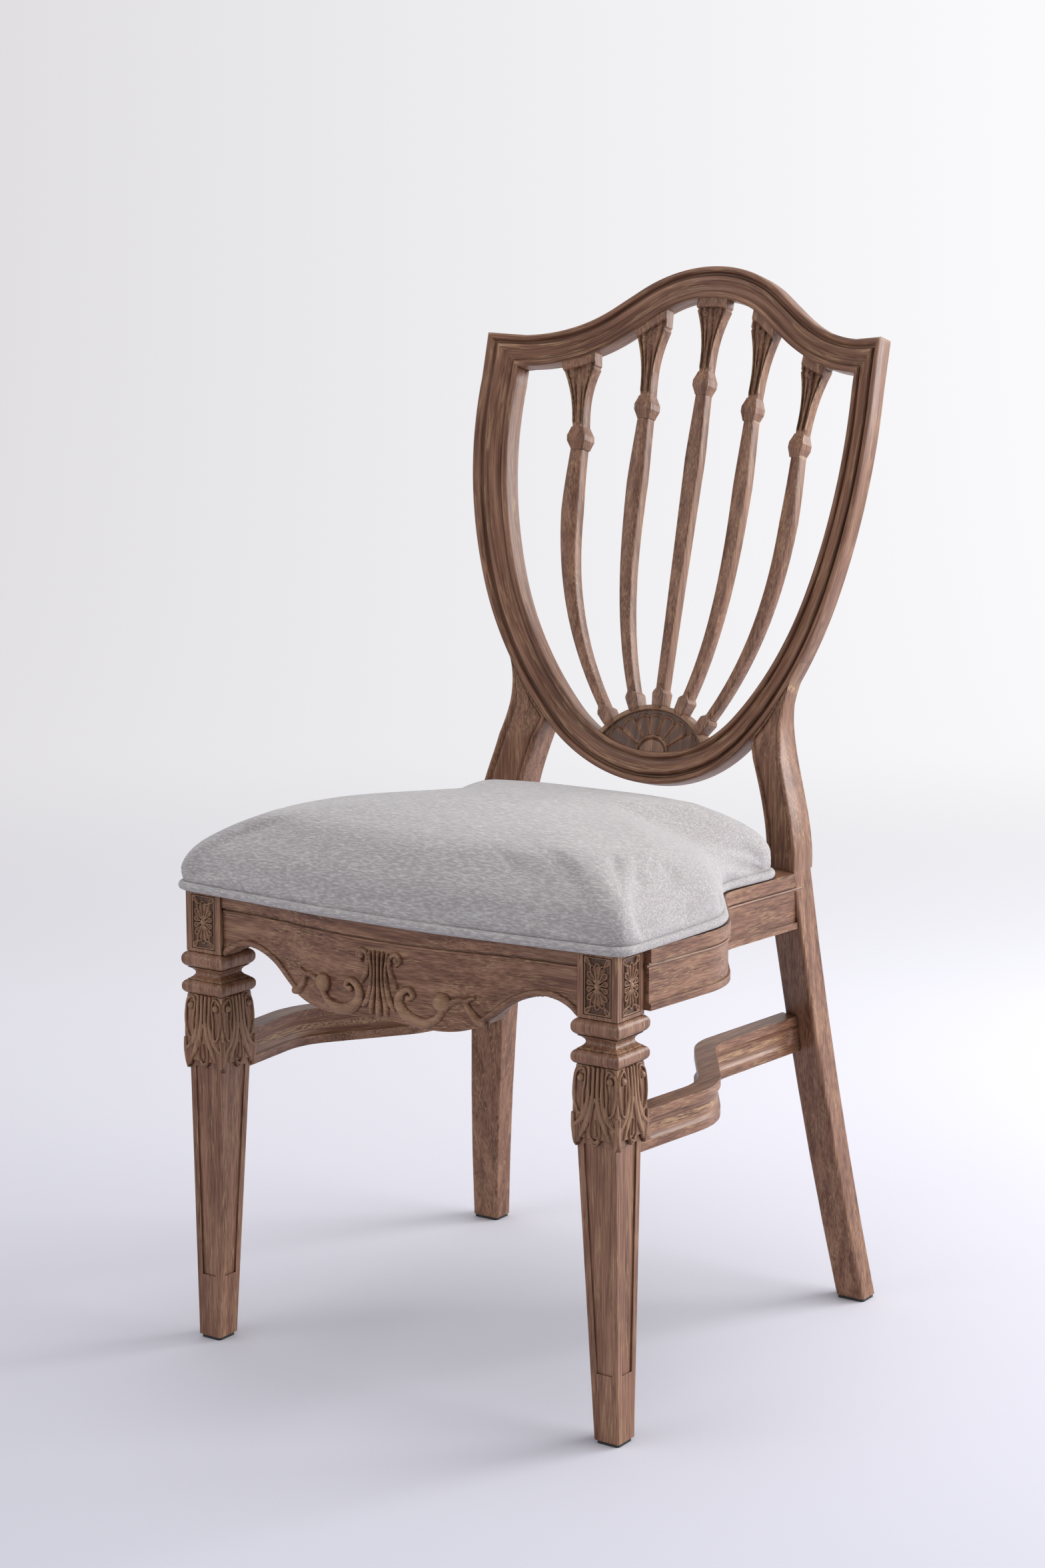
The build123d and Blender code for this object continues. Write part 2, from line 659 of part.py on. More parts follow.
def curved_slab(plane, height, front, depth):
    """Slab on the curve of the back, rising from a plane: a depth of it, this far behind the sheet."""
    centre = (0, -BACK_CURVE_R)
    half_angle = 40
    with BuildPart() as layer:
        with BuildSketch(plane):
            with BuildLine():
                near = CenterArc(centre, BACK_CURVE_R + front, 90 - half_angle, 2 * half_angle)
                far = CenterArc(centre, BACK_CURVE_R + front + depth, 90 - half_angle, 2 * half_angle)
                Line(near @ 0, far @ 0)
                Line(near @ 1, far @ 1)
            make_face()
        extrude(amount=height)
    return layer.part


def back_layer(front, depth):
    """Layer of the leaning back: a depth of material starting this far behind its front face."""
    bottom = SHIELD_BOTTOM - RIM_WIDTH
    return curved_slab(ACROSS.offset(bottom), CREST_TOP + RIM_WIDTH - bottom, front, depth)


def shield_face(inset):
    """Outline of the shield on the leaning plane of the back, drawn in by an inset."""
    with BuildSketch() as face:
        with BuildLine():
            belly = TangentArc((0, SHIELD_BOTTOM), (SHIELD_BELLY_X, SHIELD_BELLY), tangent=(1, 0))
            flank = TangentArc(belly @ 1, (SHIELD_FLANK_X, SHIELD_FLANK), tangent=belly % 1)
            side = TangentArc(flank @ 1, (SHIELD_HALF_WIDTH, SHIELD_SIDE), tangent=flank % 1)
            shoulder_end = (SHIELD_HALF_WIDTH - CREST_SHOULDER_RUN, SHIELD_CORNER)
            Polyline(side @ 1, (SHIELD_HALF_WIDTH, SHIELD_CORNER), shoulder_end)
            arch = TangentArc((0, CREST_TOP), (CREST_ARCH_X, CREST_TOP - CREST_ARCH_DROP), tangent=(1, 0))
            slope = Line(arch @ 1, arch @ 1 + (arch % 1) * CREST_SLOPE_RUN)
            TangentArc(slope @ 1, shoulder_end, tangent=arch % 1)
            Line(arch @ 0, belly @ 0)
        make_face()
        mirror(about=Plane.YZ)
        if inset:
            offset(amount=-inset, kind=Kind.INTERSECTION, mode=Mode.REPLACE)
    return face.sketch


def shield_blank(inset):
    """The shield's outline, drawn in by an inset, through the whole back."""
    with BuildPart() as blank:
        with BuildSketch(BACK):
            add(shield_face(inset))
        extrude(amount=THROUGH, both=True)
    return blank.part


def rim_band(start, width):
    """Band of the rim between two insets, through the whole back."""
    return cut(shield_blank(start), shield_blank(start + width))


def back_blank(sketch):
    """Any outline on the leaning plane, through the whole back."""
    with BuildPart() as blank:
        with BuildSketch(BACK):
            add(sketch)
        extrude(amount=THROUGH, both=True)
    return blank.part


def strip(x, low, high, half):
    """Upright strip on the leaning plane."""
    with BuildSketch() as sketch:
        with Locations((x, (low + high) / 2)):
            Rectangle(2 * half, high - low)
    return sketch.sketch


tenon_front = BALUSTER_SET_BACK + (BALUSTER_DEPTH - TENON_DEPTH) / 2
rim_layer = back_layer(0, RIM_THICK)
shaft_layer = back_layer(BALUSTER_SET_BACK, BALUSTER_DEPTH)
knop_layer = back_layer(BALUSTER_SET_BACK - (KNOP_DEPTH - BALUSTER_DEPTH) / 2, KNOP_DEPTH)
collar_layer = back_layer(BALUSTER_SET_BACK - (COLLAR_DEPTH - BALUSTER_DEPTH) / 2, COLLAR_DEPTH)
tenon_layer = back_layer(tenon_front, TENON_DEPTH)
mortise_layer = back_layer(tenon_front - FIT, TENON_DEPTH + 2 * FIT)
opening = shield_blank(RIM_WIDTH + GLUE_LINE)
tenon_band = rim_band(RIM_WIDTH - TENON_LENGTH, TENON_LENGTH + TENON_HALF)
mortise_band = rim_band(RIM_WIDTH - TENON_LENGTH - FIT, TENON_LENGTH + TENON_HALF)
with BuildSketch() as fan_circle:
    with Locations((0, FAN_TOP - FAN_R)):
        Circle(FAN_R + GLUE_LINE)
fan_zone = back_blank(fan_circle.sketch)

# Balusters: bowed shafts with a knop, a leaf capital under the crest and a collar on the fan


def baluster(top_x, foot_x, knop, bend, lean):
    """Baluster with its tenons, and the mortises for them at the crest and at the fan."""
    foot = FAN_TOP - FAN_R + sqrt(FAN_R**2 - foot_x**2)
    shaft_top = knop - KNOP_HEIGHT / 2

    def middle(height):
        bowed = max(0, (shaft_top - height) / (shaft_top - foot))
        return top_x - (top_x - foot_x) * bowed**bend + lean * max(0, height - knop)

    drop = shaft_top - foot
    levels = [
        (foot - COLLAR_HEIGHT, FOOT_HALF),
        (foot, FOOT_HALF),
        (foot + 0.25 * drop, FOOT_HALF + 0.2 * (SWELL_HALF - FOOT_HALF)),
        (foot + 0.5 * drop, FOOT_HALF + 0.55 * (SWELL_HALF - FOOT_HALF)),
        (shaft_top - SWELL_DROP, SWELL_HALF),
        (knop, NECK_HALF),
    ]
    neck = knop + NECK_RISE
    crown = knop + CAPITAL_RISE
    with BuildSketch() as outline:
        with BuildLine():
            ends = []
            for side in (-1, 1):
                edge = Spline(*[(middle(height) + side * half, height) for height, half in levels])
                neck_end = (middle(neck) + side * NECK_HALF, neck)
                neck_edge = Line(edge @ 1, neck_end)
                flare = TangentArc(
                    neck_end, (middle(crown) + side * CAPITAL_HALF, crown), tangent=neck_edge % 1
                )
                top = Line(flare @ 1, flare @ 1 + Vector(0, RIM_WIDTH / 2))
                ends.append((edge @ 0, top @ 1))
            Line(ends[0][0], ends[1][0])
            Line(ends[0][1], ends[1][1])
        make_face()
    with BuildSketch() as knop_outline:
        with Locations((middle(knop), knop)):
            Polygon(
                (-KNOP_HALF, -KNOP_HEIGHT / 5),
                (-NECK_HALF, -KNOP_HEIGHT / 2),
                (NECK_HALF, -KNOP_HEIGHT / 2),
                (KNOP_HALF, -KNOP_HEIGHT / 5),
                (KNOP_HALF, KNOP_HEIGHT / 5),
                (NECK_HALF, KNOP_HEIGHT / 2),
                (-NECK_HALF, KNOP_HEIGHT / 2),
                (-KNOP_HALF, KNOP_HEIGHT / 5),
                align=None,
            )
    shaft = common(cut(back_blank(outline.sketch), fan_zone), shaft_layer, opening)
    knop_solid = common(back_blank(knop_outline.sketch), knop_layer)
    collar_outline = strip(foot_x, foot - COLLAR_HEIGHT, foot + COLLAR_HEIGHT, COLLAR_HALF)
    collar = common(cut(back_blank(collar_outline), fan_zone), collar_layer, opening)
    top_strip = (middle(crown), knop, CREST_TOP)
    foot_strip = (foot_x, foot - TENON_LENGTH, foot + COLLAR_HEIGHT / 2)
    top_tenon = common(back_blank(strip(*top_strip, TENON_HALF)), tenon_band, tenon_layer)
    foot_tenon = common(back_blank(strip(*foot_strip, TENON_HALF)), tenon_layer)
    top_mortise = common(back_blank(strip(*top_strip, TENON_HALF + FIT)), mortise_band, mortise_layer)
    foot_room = strip(foot_x, foot - TENON_LENGTH - FIT, foot + COLLAR_HEIGHT / 2, TENON_HALF + FIT)
    foot_mortise = common(back_blank(foot_room), mortise_layer)
    with BuildPart() as body:
        for piece in (shaft, knop_solid, collar, top_tenon, foot_tenon):
            add(piece)
    return body.part, top_mortise, foot_mortise


centre, centre_crest_mortise, centre_fan_mortise = baluster(0, 0, CENTRE_KNOP, INNER_BEND, 0)
inner, inner_crest_mortise, inner_fan_mortise = baluster(
    INNER_TOP_X, INNER_FOOT_X, INNER_KNOP, INNER_BEND, INNER_LEAN
)
outer, outer_crest_mortise, outer_fan_mortise = baluster(
    OUTER_TOP_X, OUTER_FOOT_X, OUTER_KNOP, OUTER_BEND, OUTER_LEAN
)
save("baluster_centre", centre)
save_pair("baluster_inner", inner)
save_pair("baluster_outer", outer)
right_crest_mortises = [inner_crest_mortise, outer_crest_mortise]
right_fan_mortises = [inner_fan_mortise, outer_fan_mortise]
crest_mortises = [mirror(tool, about=Plane.YZ) for tool in right_crest_mortises]
crest_mortises += [centre_crest_mortise, *right_crest_mortises]
fan_mortises = [mirror(tool, about=Plane.YZ) for tool in right_fan_mortises]
fan_mortises += [centre_fan_mortise, *right_fan_mortises]

# Fan: a half-round field, sunk between a raised band and a disc
with BuildSketch() as fan_outline:
    with Locations((0, FAN_TOP - FAN_R)):
        Circle(FAN_R)
    add(shield_face(RIM_WIDTH + GLUE_LINE), mode=Mode.INTERSECT)
with BuildSketch() as fan_field:
    add(fan_outline.sketch)
    offset(amount=-FAN_BAND, kind=Kind.INTERSECTION, mode=Mode.REPLACE)
    with Locations((0, FAN_DISC_TOP - FAN_DISC_R)):
        Circle(FAN_DISC_R, mode=Mode.SUBTRACT)
fan_body = common(back_blank(fan_outline.sketch), back_layer(FAN_SET_BACK, FAN_THICK))
field_layer = back_layer(FAN_SET_BACK - FAN_FIELD_DEPTH, 2 * FAN_FIELD_DEPTH)
fan_sinking = common(back_blank(fan_field.sketch), field_layer)
save("fan_lunette", cut(fan_body, fan_sinking, *fan_mortises))

# Shield: a grooved and hollowed rim in two pieces, mitred and dowelled at the upper corners
rim = cut(
    common(rim_band(0, RIM_WIDTH), rim_layer),
    common(rim_band(BEAD_WIDTH, GROOVE_WIDTH), back_layer(-GROOVE_DEPTH, 2 * GROOVE_DEPTH)),
    common(
        rim_band(BEAD_WIDTH + GROOVE_WIDTH + BEAD_WIDTH / 2, HOLLOW_WIDTH),
        back_layer(-HOLLOW_DEPTH, 2 * HOLLOW_DEPTH),
    ),
)


def above_mitres(drop):
    """Everything above the two mitre lines, which run in from the upper corners at 45 degrees."""
    reach = SHIELD_HALF_WIDTH + RIM_WIDTH
    foot = SHIELD_CORNER - SHIELD_HALF_WIDTH - drop
    top = CREST_TOP + RIM_WIDTH
    with BuildSketch() as zone:
        with BuildLine():
            Polyline(
                (0, foot),
                (reach, foot + reach),
                (reach, top),
                (-reach, top),
                (-reach, foot + reach),
                close=True,
            )
        make_face()
    return back_blank(zone.sketch)


mitre_inset = RIM_WIDTH / 2
mitre_dowels, mitre_holes = dowels_at(
    [
        place_on_back(
            SHIELD_HALF_WIDTH - mitre_inset, SHIELD_CORNER - mitre_inset, RIM_THICK / 2, across=1, up=-1
        )
    ],
    SMALL_DOWEL_R,
    SMALL_DOWEL_LENGTH,
)
left_mitre_holes = [mirror(hole, about=Plane.YZ) for hole in mitre_holes]
with BuildLine() as flank_line:
    belly_arc = TangentArc((0, SHIELD_BOTTOM), (SHIELD_BELLY_X, SHIELD_BELLY), tangent=(1, 0))
    flank_arc = TangentArc(belly_arc @ 1, (SHIELD_FLANK_X, SHIELD_FLANK), tangent=belly_arc % 1)
bow_seats = [(flank_arc @ share, flank_arc % share) for share in (BOW_DOWEL_LOW, BOW_DOWEL_HIGH)]
bow_dowels, bow_holes = dowels_at(
    [
        place_on_back(point.X, point.Y, UPRIGHT_SET_BACK + UPRIGHT_THICK / 2, across=along.Y, up=-along.X)
        for point, along in bow_seats
    ],
    SMALL_DOWEL_R,
    SMALL_DOWEL_LENGTH,
)
left_bow_holes = [mirror(hole, about=Plane.YZ) for hole in bow_holes]
both_mitre_holes = [*mitre_holes, *left_mitre_holes]
crest_rail = cut(common(rim, above_mitres(0)), *crest_mortises, *both_mitre_holes)
shield_bow = cut(rim, above_mitres(2 * GLUE_LINE), *both_mitre_holes, *bow_holes, *left_bow_holes)
save("crest_rail", crest_rail)
save("shield_bow", shield_bow)
save_group("mitre_dowels", mitre_dowels)
save_group("bow_dowels", bow_dowels)

# Uprights: plumb above the rear legs, then leaning with the shield that they flare into
knee = BACK_Z - SEAT_TOP
plumb = Plane((0, BACK_Y - y_mid, SEAT_TOP))
leaning = ACROSS.offset(-2 * knee)
stock = 4 * REAR_TOP_DEPTH
waist_outer_x = SHIELD_BELLY_X + UPRIGHT_WAIST_OUT
top_outer_x = SHIELD_BELLY_X + UPRIGHT_TOP_OUT
with BuildPart() as upright_blank:
    with BuildSketch(FRONT):
        with BuildLine():
            outer_edge = Spline(
                (REAR_TOP_OUTER_X, SEAT_TOP),
                (UPRIGHT_SHOULDER_OUTER_X, UPRIGHT_SHOULDER_Z),
                (waist_outer_x, UPRIGHT_WAIST_Z),
                (top_outer_x, UPRIGHT_TOP_Z),
            )
            inner_edge = Spline(
                (REAR_TOP_OUTER_X - REAR_TOP_WIDTH, SEAT_TOP),
                (UPRIGHT_SHOULDER_INNER_X, UPRIGHT_SHOULDER_Z),
                (waist_outer_x - UPRIGHT_WAIST_WIDTH, UPRIGHT_WAIST_Z),
                (top_outer_x - UPRIGHT_TOP_WIDTH, UPRIGHT_TOP_Z),
            )
            Line(outer_edge @ 0, inner_edge @ 0)
            Line(outer_edge @ 1, inner_edge @ 1)
        make_face()
    extrude(amount=2 * BACK_Y, both=True)
upright_front = common(
    upright_blank.part,
    curved_slab(plumb, 4 * knee, UPRIGHT_SET_BACK, stock),
    curved_slab(leaning, 4 * knee, UPRIGHT_SET_BACK, stock),
)
upright_waste = common(
    curved_slab(plumb, 4 * knee, UPRIGHT_SET_BACK + REAR_TOP_DEPTH, stock),
    curved_slab(leaning, 4 * knee, UPRIGHT_SET_BACK + UPRIGHT_THICK, stock),
)
upright = cut(upright_front, upright_waste, shield_blank(-GLUE_LINE), *stile_holes, *bow_holes)
save_pair("upright", upright)

# Seat pad: fastening strips, base cloth, board, foam, cover and piping


def pad_outline(scale):
    """Plan of the pad at a scale about its middle."""
    half = [
        (PAD_FRONT_X, pad_front_y, PAD_FRONT_R),
        (PAD_CORNER_X, PAD_CORNER_Y, PAD_CORNER_R),
        (PAD_SWELL_X, RAIL_SWELL_Y, PAD_SWELL_R),
        (PAD_WAIST_X, RAIL_WAIST_Y, PAD_WAIST_R),
        (PAD_REAR_X, PAD_REAR_Y, PAD_REAR_R),
        (PAD_REAR_BOW_X, PAD_REAR_Y + PAD_REAR_BOW, PAD_REAR_BOW_R),
    ]
    around = half + [(-x, y, radius) for x, y, radius in reversed(half)]
    points = [(x * scale, PAD_CENTRE_Y + (y - PAD_CENTRE_Y) * scale) for x, y, _ in around]
    with BuildLine() as outline:
        FilletPolyline(*points, radius=[radius * scale for _, _, radius in around], close=True)
    return outline.line


def pad_slab(scale, bottom, thick):
    """Flat layer of the pad."""
    with BuildPart() as slab:
        with BuildSketch(PLAN.offset(bottom)):
            add(pad_outline(scale))
            make_face()
        extrude(amount=thick)
    return slab.part


def pad_form(skin, bottom):
    """Stuffed form inside a skin, from a height upwards: full at the sides and crowned on top."""
    inward = skin / PAD_CORNER_X
    sections = []
    for low, high in zip(PAD_LEVELS, PAD_LEVELS[1:] + PAD_LEVELS[-1:]):
        height = board_z + (PAD_CROWN - skin) * low[0]
        next_height = board_z + (PAD_CROWN - skin) * high[0]
        scale = low[1]
        if height < bottom < next_height:
            scale += (high[1] - low[1]) * (bottom - height) / (next_height - height)
            height = bottom
        if height >= bottom:
            with BuildSketch(PLAN.offset(height)) as section:
                add(pad_outline(scale - inward))
                make_face()
            sections.append(section.sketch)
    return loft(sections, ruled=True)


strip_places = [(RAIL_FRONT_X, BLOCK + STRIP_LENGTH / 2), (RAIL_WAIST_X, RAIL_WAIST_Y + STRIP_LENGTH / 2)]


def strips(bottom):
    """Fastening strips on the right-hand side rail, or above it on the pad."""
    with BuildPart() as tapes:
        with BuildSketch(PLAN.offset(bottom)):
            for x, y in strip_places:
                with Locations((x - STRIP_SET_IN, y)):
                    Rectangle(STRIP_WIDTH, STRIP_LENGTH)
        extrude(amount=STRIP_THICK)
    return tapes.part


save_group("hook_strips", [strips(SEAT_TOP)])
save_group("loop_strips", [strips(cloth_z - STRIP_THICK)])
board_scale = PAD_LEVELS[0][1] - (COVER_THICK + PAD_GAP) / PAD_CORNER_X
save("pad_base_cloth", pad_slab(board_scale, cloth_z, CLOTH_THICK))
save("pad_board", pad_slab(board_scale, board_z, BOARD_THICK))
save("pad_foam", pad_form(COVER_THICK + PAD_GAP, foam_z + PAD_GAP))
save("pad_cover", cut(pad_form(0, board_z), pad_form(COVER_THICK, board_z)))
piping_path = PLAN.offset(SEAT_TOP + PAD_GAP + PIPING_R) * pad_outline(1)
with BuildPart() as piping:
    with BuildSketch(Plane(piping_path @ 0, z_dir=piping_path % 0)):
        Circle(PIPING_R)
    sweep(path=piping_path)
save("pad_piping", piping.part)
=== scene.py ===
import logging
import math
from collections.abc import Callable
from dataclasses import dataclass
from enum import Enum
from functools import partial

import bmesh
import bpy
import numpy as np
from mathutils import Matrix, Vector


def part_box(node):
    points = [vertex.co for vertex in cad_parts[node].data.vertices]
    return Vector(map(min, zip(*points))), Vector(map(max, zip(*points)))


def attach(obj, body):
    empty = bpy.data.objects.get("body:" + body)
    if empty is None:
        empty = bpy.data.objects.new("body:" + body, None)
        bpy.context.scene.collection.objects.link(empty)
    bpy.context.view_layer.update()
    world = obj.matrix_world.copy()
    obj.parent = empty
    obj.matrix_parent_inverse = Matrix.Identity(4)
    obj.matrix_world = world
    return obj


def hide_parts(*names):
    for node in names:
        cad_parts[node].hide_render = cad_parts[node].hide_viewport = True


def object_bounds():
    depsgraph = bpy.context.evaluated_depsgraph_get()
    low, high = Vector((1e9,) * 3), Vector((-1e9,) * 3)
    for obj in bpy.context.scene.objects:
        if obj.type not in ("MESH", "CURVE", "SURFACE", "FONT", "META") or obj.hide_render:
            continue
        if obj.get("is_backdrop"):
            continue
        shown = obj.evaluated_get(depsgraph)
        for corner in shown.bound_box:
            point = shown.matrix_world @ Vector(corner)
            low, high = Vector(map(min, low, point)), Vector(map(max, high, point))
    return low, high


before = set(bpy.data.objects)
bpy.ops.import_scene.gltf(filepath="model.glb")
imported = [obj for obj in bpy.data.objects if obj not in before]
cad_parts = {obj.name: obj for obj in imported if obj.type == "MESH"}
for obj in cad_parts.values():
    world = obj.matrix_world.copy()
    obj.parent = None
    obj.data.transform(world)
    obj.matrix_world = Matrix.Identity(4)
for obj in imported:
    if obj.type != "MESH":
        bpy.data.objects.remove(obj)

MM = 0.001
LOG = logging.getLogger("chair")
CAD_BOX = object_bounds()
REAR_RAIL_FRONT = 391.5 * MM  # depth of the rear rail's front face
DATUM_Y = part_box("rear_rail")[0][1] - REAR_RAIL_FRONT  # row-frame Y of the front leg blocks' face
BODY = "frame"
PAD = "seat_pad"
WOOD_SLOT = "moulded_walnut"
CLOTH_SLOT = "grey_twill"
Values = float | np.ndarray
Pair = tuple[float, float] | np.ndarray
Carrier = Callable[[np.ndarray, np.ndarray, np.ndarray], np.ndarray]


def srgb(code: str) -> tuple[float, float, float, float]:
    """Turn an sRGB colour to linear.

    Args:
        code: six-digit hex code with its hash.

    Returns:
        Linear red, green and blue, and full opacity.
    """
    parts = [int(code[i : i + 2], 16) / 255 for i in (1, 3, 5)]
    linear = [p / 12.92 if p <= 0.04045 else ((p + 0.055) / 1.055) ** 2.4 for p in parts]
    return (*linear, 1.0)


def add_node(tree: bpy.types.NodeTree, kind: str, **inputs: object) -> bpy.types.Node:
    """Add a shader node.

    Args:
        tree: node tree that takes the node.
        kind: node type without its ShaderNode prefix.
        **inputs: socket values or links by socket name with _ for spaces, or node settings.

    Returns:
        The new node.
    """
    node = tree.nodes.new("ShaderNode" + kind)
    for name, value in inputs.items():
        key = int(name[1:]) if name[0] == "_" else name.replace("_", " ")
        socket = node.inputs[key] if isinstance(key, int) or key in node.inputs else None
        if isinstance(value, bpy.types.NodeSocket):
            tree.links.new(value, socket)
        elif socket is not None:
            socket.default_value = value
        else:
            setattr(node, name, value)
    return node


class Grain(Enum):
    """Where the wood figure of a piece runs: along an axis, or as its mesh's own attribute says."""

    X = (0, 1, 2)
    Y = (1, 0, 2)
    Z = (2, 0, 1)
    MESH = None


def new_material(name: str) -> tuple[bpy.types.Material, bpy.types.NodeTree, bpy.types.Node]:
    """Start a material.

    Args:
        name: what the real material is.

    Returns:
        The material, its node tree and its Principled shader.
    """
    material = bpy.data.materials.new(name)
    material.use_nodes = True
    tree = material.node_tree
    tree.nodes.clear()
    output = add_node(tree, "OutputMaterial")
    shader = add_node(tree, "BsdfPrincipled")
    tree.links.new(shader.outputs["BSDF"], output.inputs["Surface"])
    return material, tree, shader


@dataclass(frozen=True)
class WalnutEffectPlastic:
    """Moulded plastic with an embossed walnut grain, wiped with a tan glaze: warm brown, satin."""

    name: str = "walnut_effect_plastic"
    dark: str = "#553322"
    mid: str = "#7a5440"
    light: str = "#956e57"
    tan: str = "#b0906a"
    # Dark of glaze left in hollows, used also as painted shade in every crevice, recess and joint
    hollow_glaze_and_shade: str = "#2c1910"
    wear: float = 0.8
    # Real pores are finer: drawn this coarse so that they show
    fibre_across: float = 1.2 * MM
    fibre_along: float = 40 * MM
    figure_across: float = 8 * MM
    figure_along: float = 140 * MM
    glaze_and_shade_reach: float = 5 * MM
    edge_reach: float = 2.5 * MM
    emboss: float = 0.25 * MM
    round_edge: float = 0.5 * MM
    roughness: float = 0.4

    def coordinates(self, tree: bpy.types.NodeTree, grain: Grain) -> bpy.types.NodeSocket:
        """Lay out the figure.

        Args:
            tree: node tree of the finish.
            grain: way that the grain runs.

        Returns:
            Vector whose first component runs along the grain.
        """
        if grain is Grain.MESH:
            return add_node(tree, "Attribute", attribute_name="grain").outputs["Vector"]
        place = add_node(tree, "TexCoord").outputs["Object"]
        parts = add_node(tree, "SeparateXYZ", Vector=place)
        order = [parts.outputs[i] for i in grain.value]
        return add_node(tree, "CombineXYZ", X=order[0], Y=order[1], Z=order[2]).outputs["Vector"]

    def noise(self, tree: bpy.types.NodeTree, place: bpy.types.NodeSocket, along: float, across: float,
              detail: float) -> bpy.types.NodeSocket:
        """Draw noise out along the grain.

        Args:
            tree: node tree of the finish.
            place: vector whose first component runs along the grain.
            along: length of a streak.
            across: width of a streak.
            detail: finer layers in the noise.

        Returns:
            The noise, from 0 to 1.
        """
        stretch = (1 / along, 1 / across, 1 / across)
        scaled = add_node(tree, "Mapping", Vector=place, Scale=stretch).outputs["Vector"]
        return add_node(tree, "TexNoise", Vector=scaled, Scale=1.0, Detail=detail).outputs["Fac"]

    def build(self, grain: Grain) -> bpy.types.Material:
        """Make the finish for pieces whose grain runs one way.

        Args:
            grain: way that the grain runs.

        Returns:
            The finish.
        """
        material, tree, shader = new_material(f"{self.name}_{grain.name.lower()}")
        place = self.coordinates(tree, grain)
        fibre = self.noise(tree, place, self.fibre_along, self.fibre_across, 3.0)
        figure = self.noise(tree, place, self.figure_along, self.figure_across, 2.0)
        # Slow bands of figure under fine fibres read as walnut from a step away
        both = add_node(tree, "Math", operation="MULTIPLY_ADD", _0=fibre, _1=0.55, _2=0.0)
        tone = add_node(tree, "Math", operation="MULTIPLY_ADD", _0=figure, _1=0.45, _2=both.outputs[0])
        ramp = add_node(tree, "ValToRGB", Fac=tone.outputs[0])
        stops = ramp.color_ramp.elements
        stops[0].position, stops[0].color = 0.36, srgb(self.dark)
        stops[1].position, stops[1].color = 0.63, srgb(self.light)
        stops.new(0.5).color = srgb(self.mid)
        # Tan glaze caught on raised fibres, in patches
        streak = self.noise(tree, place, self.fibre_along / 2, self.fibre_across / 1.3, 2.0)
        patch = self.noise(tree, place, self.figure_along / 3, self.figure_across, 1.0)
        raised = add_node(tree, "MapRange", Value=streak, From_Min=0.53, From_Max=0.63)
        patched = add_node(tree, "MapRange", Value=patch, From_Min=0.43, From_Max=0.58)
        glaze = add_node(tree, "Math", operation="MULTIPLY", _0=raised.outputs[0], _1=patched.outputs[0])
        # Glaze worn off convex edges; further down, glaze and painted shade left dark in the carving
        edge = add_node(tree, "AmbientOcclusion", inside=True, samples=4, Distance=self.edge_reach)
        edge_wear = add_node(tree, "MapRange", Value=edge.outputs["AO"], From_Min=0.62, From_Max=0.3)
        rubbed = add_node(tree, "MapRange", Value=fibre, From_Min=0.4, From_Max=0.65, To_Max=self.wear)
        worn = add_node(tree, "Math", operation="MULTIPLY", _0=edge_wear.outputs[0], _1=rubbed.outputs[0])
        tan = add_node(tree, "Math", operation="MULTIPLY_ADD", use_clamp=True, _0=glaze.outputs[0], _1=0.55)
        tree.links.new(worn.outputs[0], tan.inputs[2])
        # Carving is wiped pale on its high points
        high = add_node(tree, "Attribute", attribute_name="raised").outputs["Fac"]
        rubbed_high = add_node(tree, "MapRange", Value=high, From_Min=0.45, From_Max=1.0, To_Max=0.3)
        tan = add_node(tree, "Math", operation="MAXIMUM", _0=tan.outputs[0], _1=rubbed_high.outputs[0])
        wiped = add_node(tree, "Mix", data_type="RGBA", _0=tan.outputs[0])
        tree.links.new(ramp.outputs["Color"], wiped.inputs[6])
        wiped.inputs[7].default_value = srgb(self.tan)
        # Dark glaze left in hollows and on the ground of a carving, and painted shade from ambient occlusion
        # in every crevice, recess and joint
        hollow = add_node(tree, "AmbientOcclusion", samples=4, Distance=self.glaze_and_shade_reach).outputs["AO"]
        shade = add_node(tree, "MapRange", Value=hollow, From_Min=0.75, From_Max=0.3, To_Max=0.85)
        # Sunk ground of a carving darkened as glaze and painted shade
        sunk = add_node(tree, "Attribute", attribute_name="sunk").outputs["Fac"]
        glaze_and_shade_on_ground = add_node(tree, "Math", operation="MULTIPLY", _0=sunk, _1=0.72).outputs[0]
        shade = add_node(tree, "Math", operation="MAXIMUM", _0=shade.outputs[0], _1=glaze_and_shade_on_ground)
        final = add_node(tree, "Mix", data_type="RGBA", _0=shade.outputs[0])
        tree.links.new(wiped.outputs[2], final.inputs[6])
        final.inputs[7].default_value = srgb(self.hollow_glaze_and_shade)
        tree.links.new(final.outputs[2], shader.inputs["Base Color"])
        shader.inputs["Roughness"].default_value = self.roughness
        shader.inputs["Specular IOR Level"].default_value = 0.4
        # Rounded arrises and embossed grain
        softened = add_node(tree, "Bevel", samples=4, Radius=self.round_edge)
        bump = add_node(
            tree, "Bump", Strength=0.8, Distance=self.emboss, Height=fibre, Normal=softened.outputs[0]
        )
        tree.links.new(bump.outputs["Normal"], shader.inputs["Normal"])
        return material


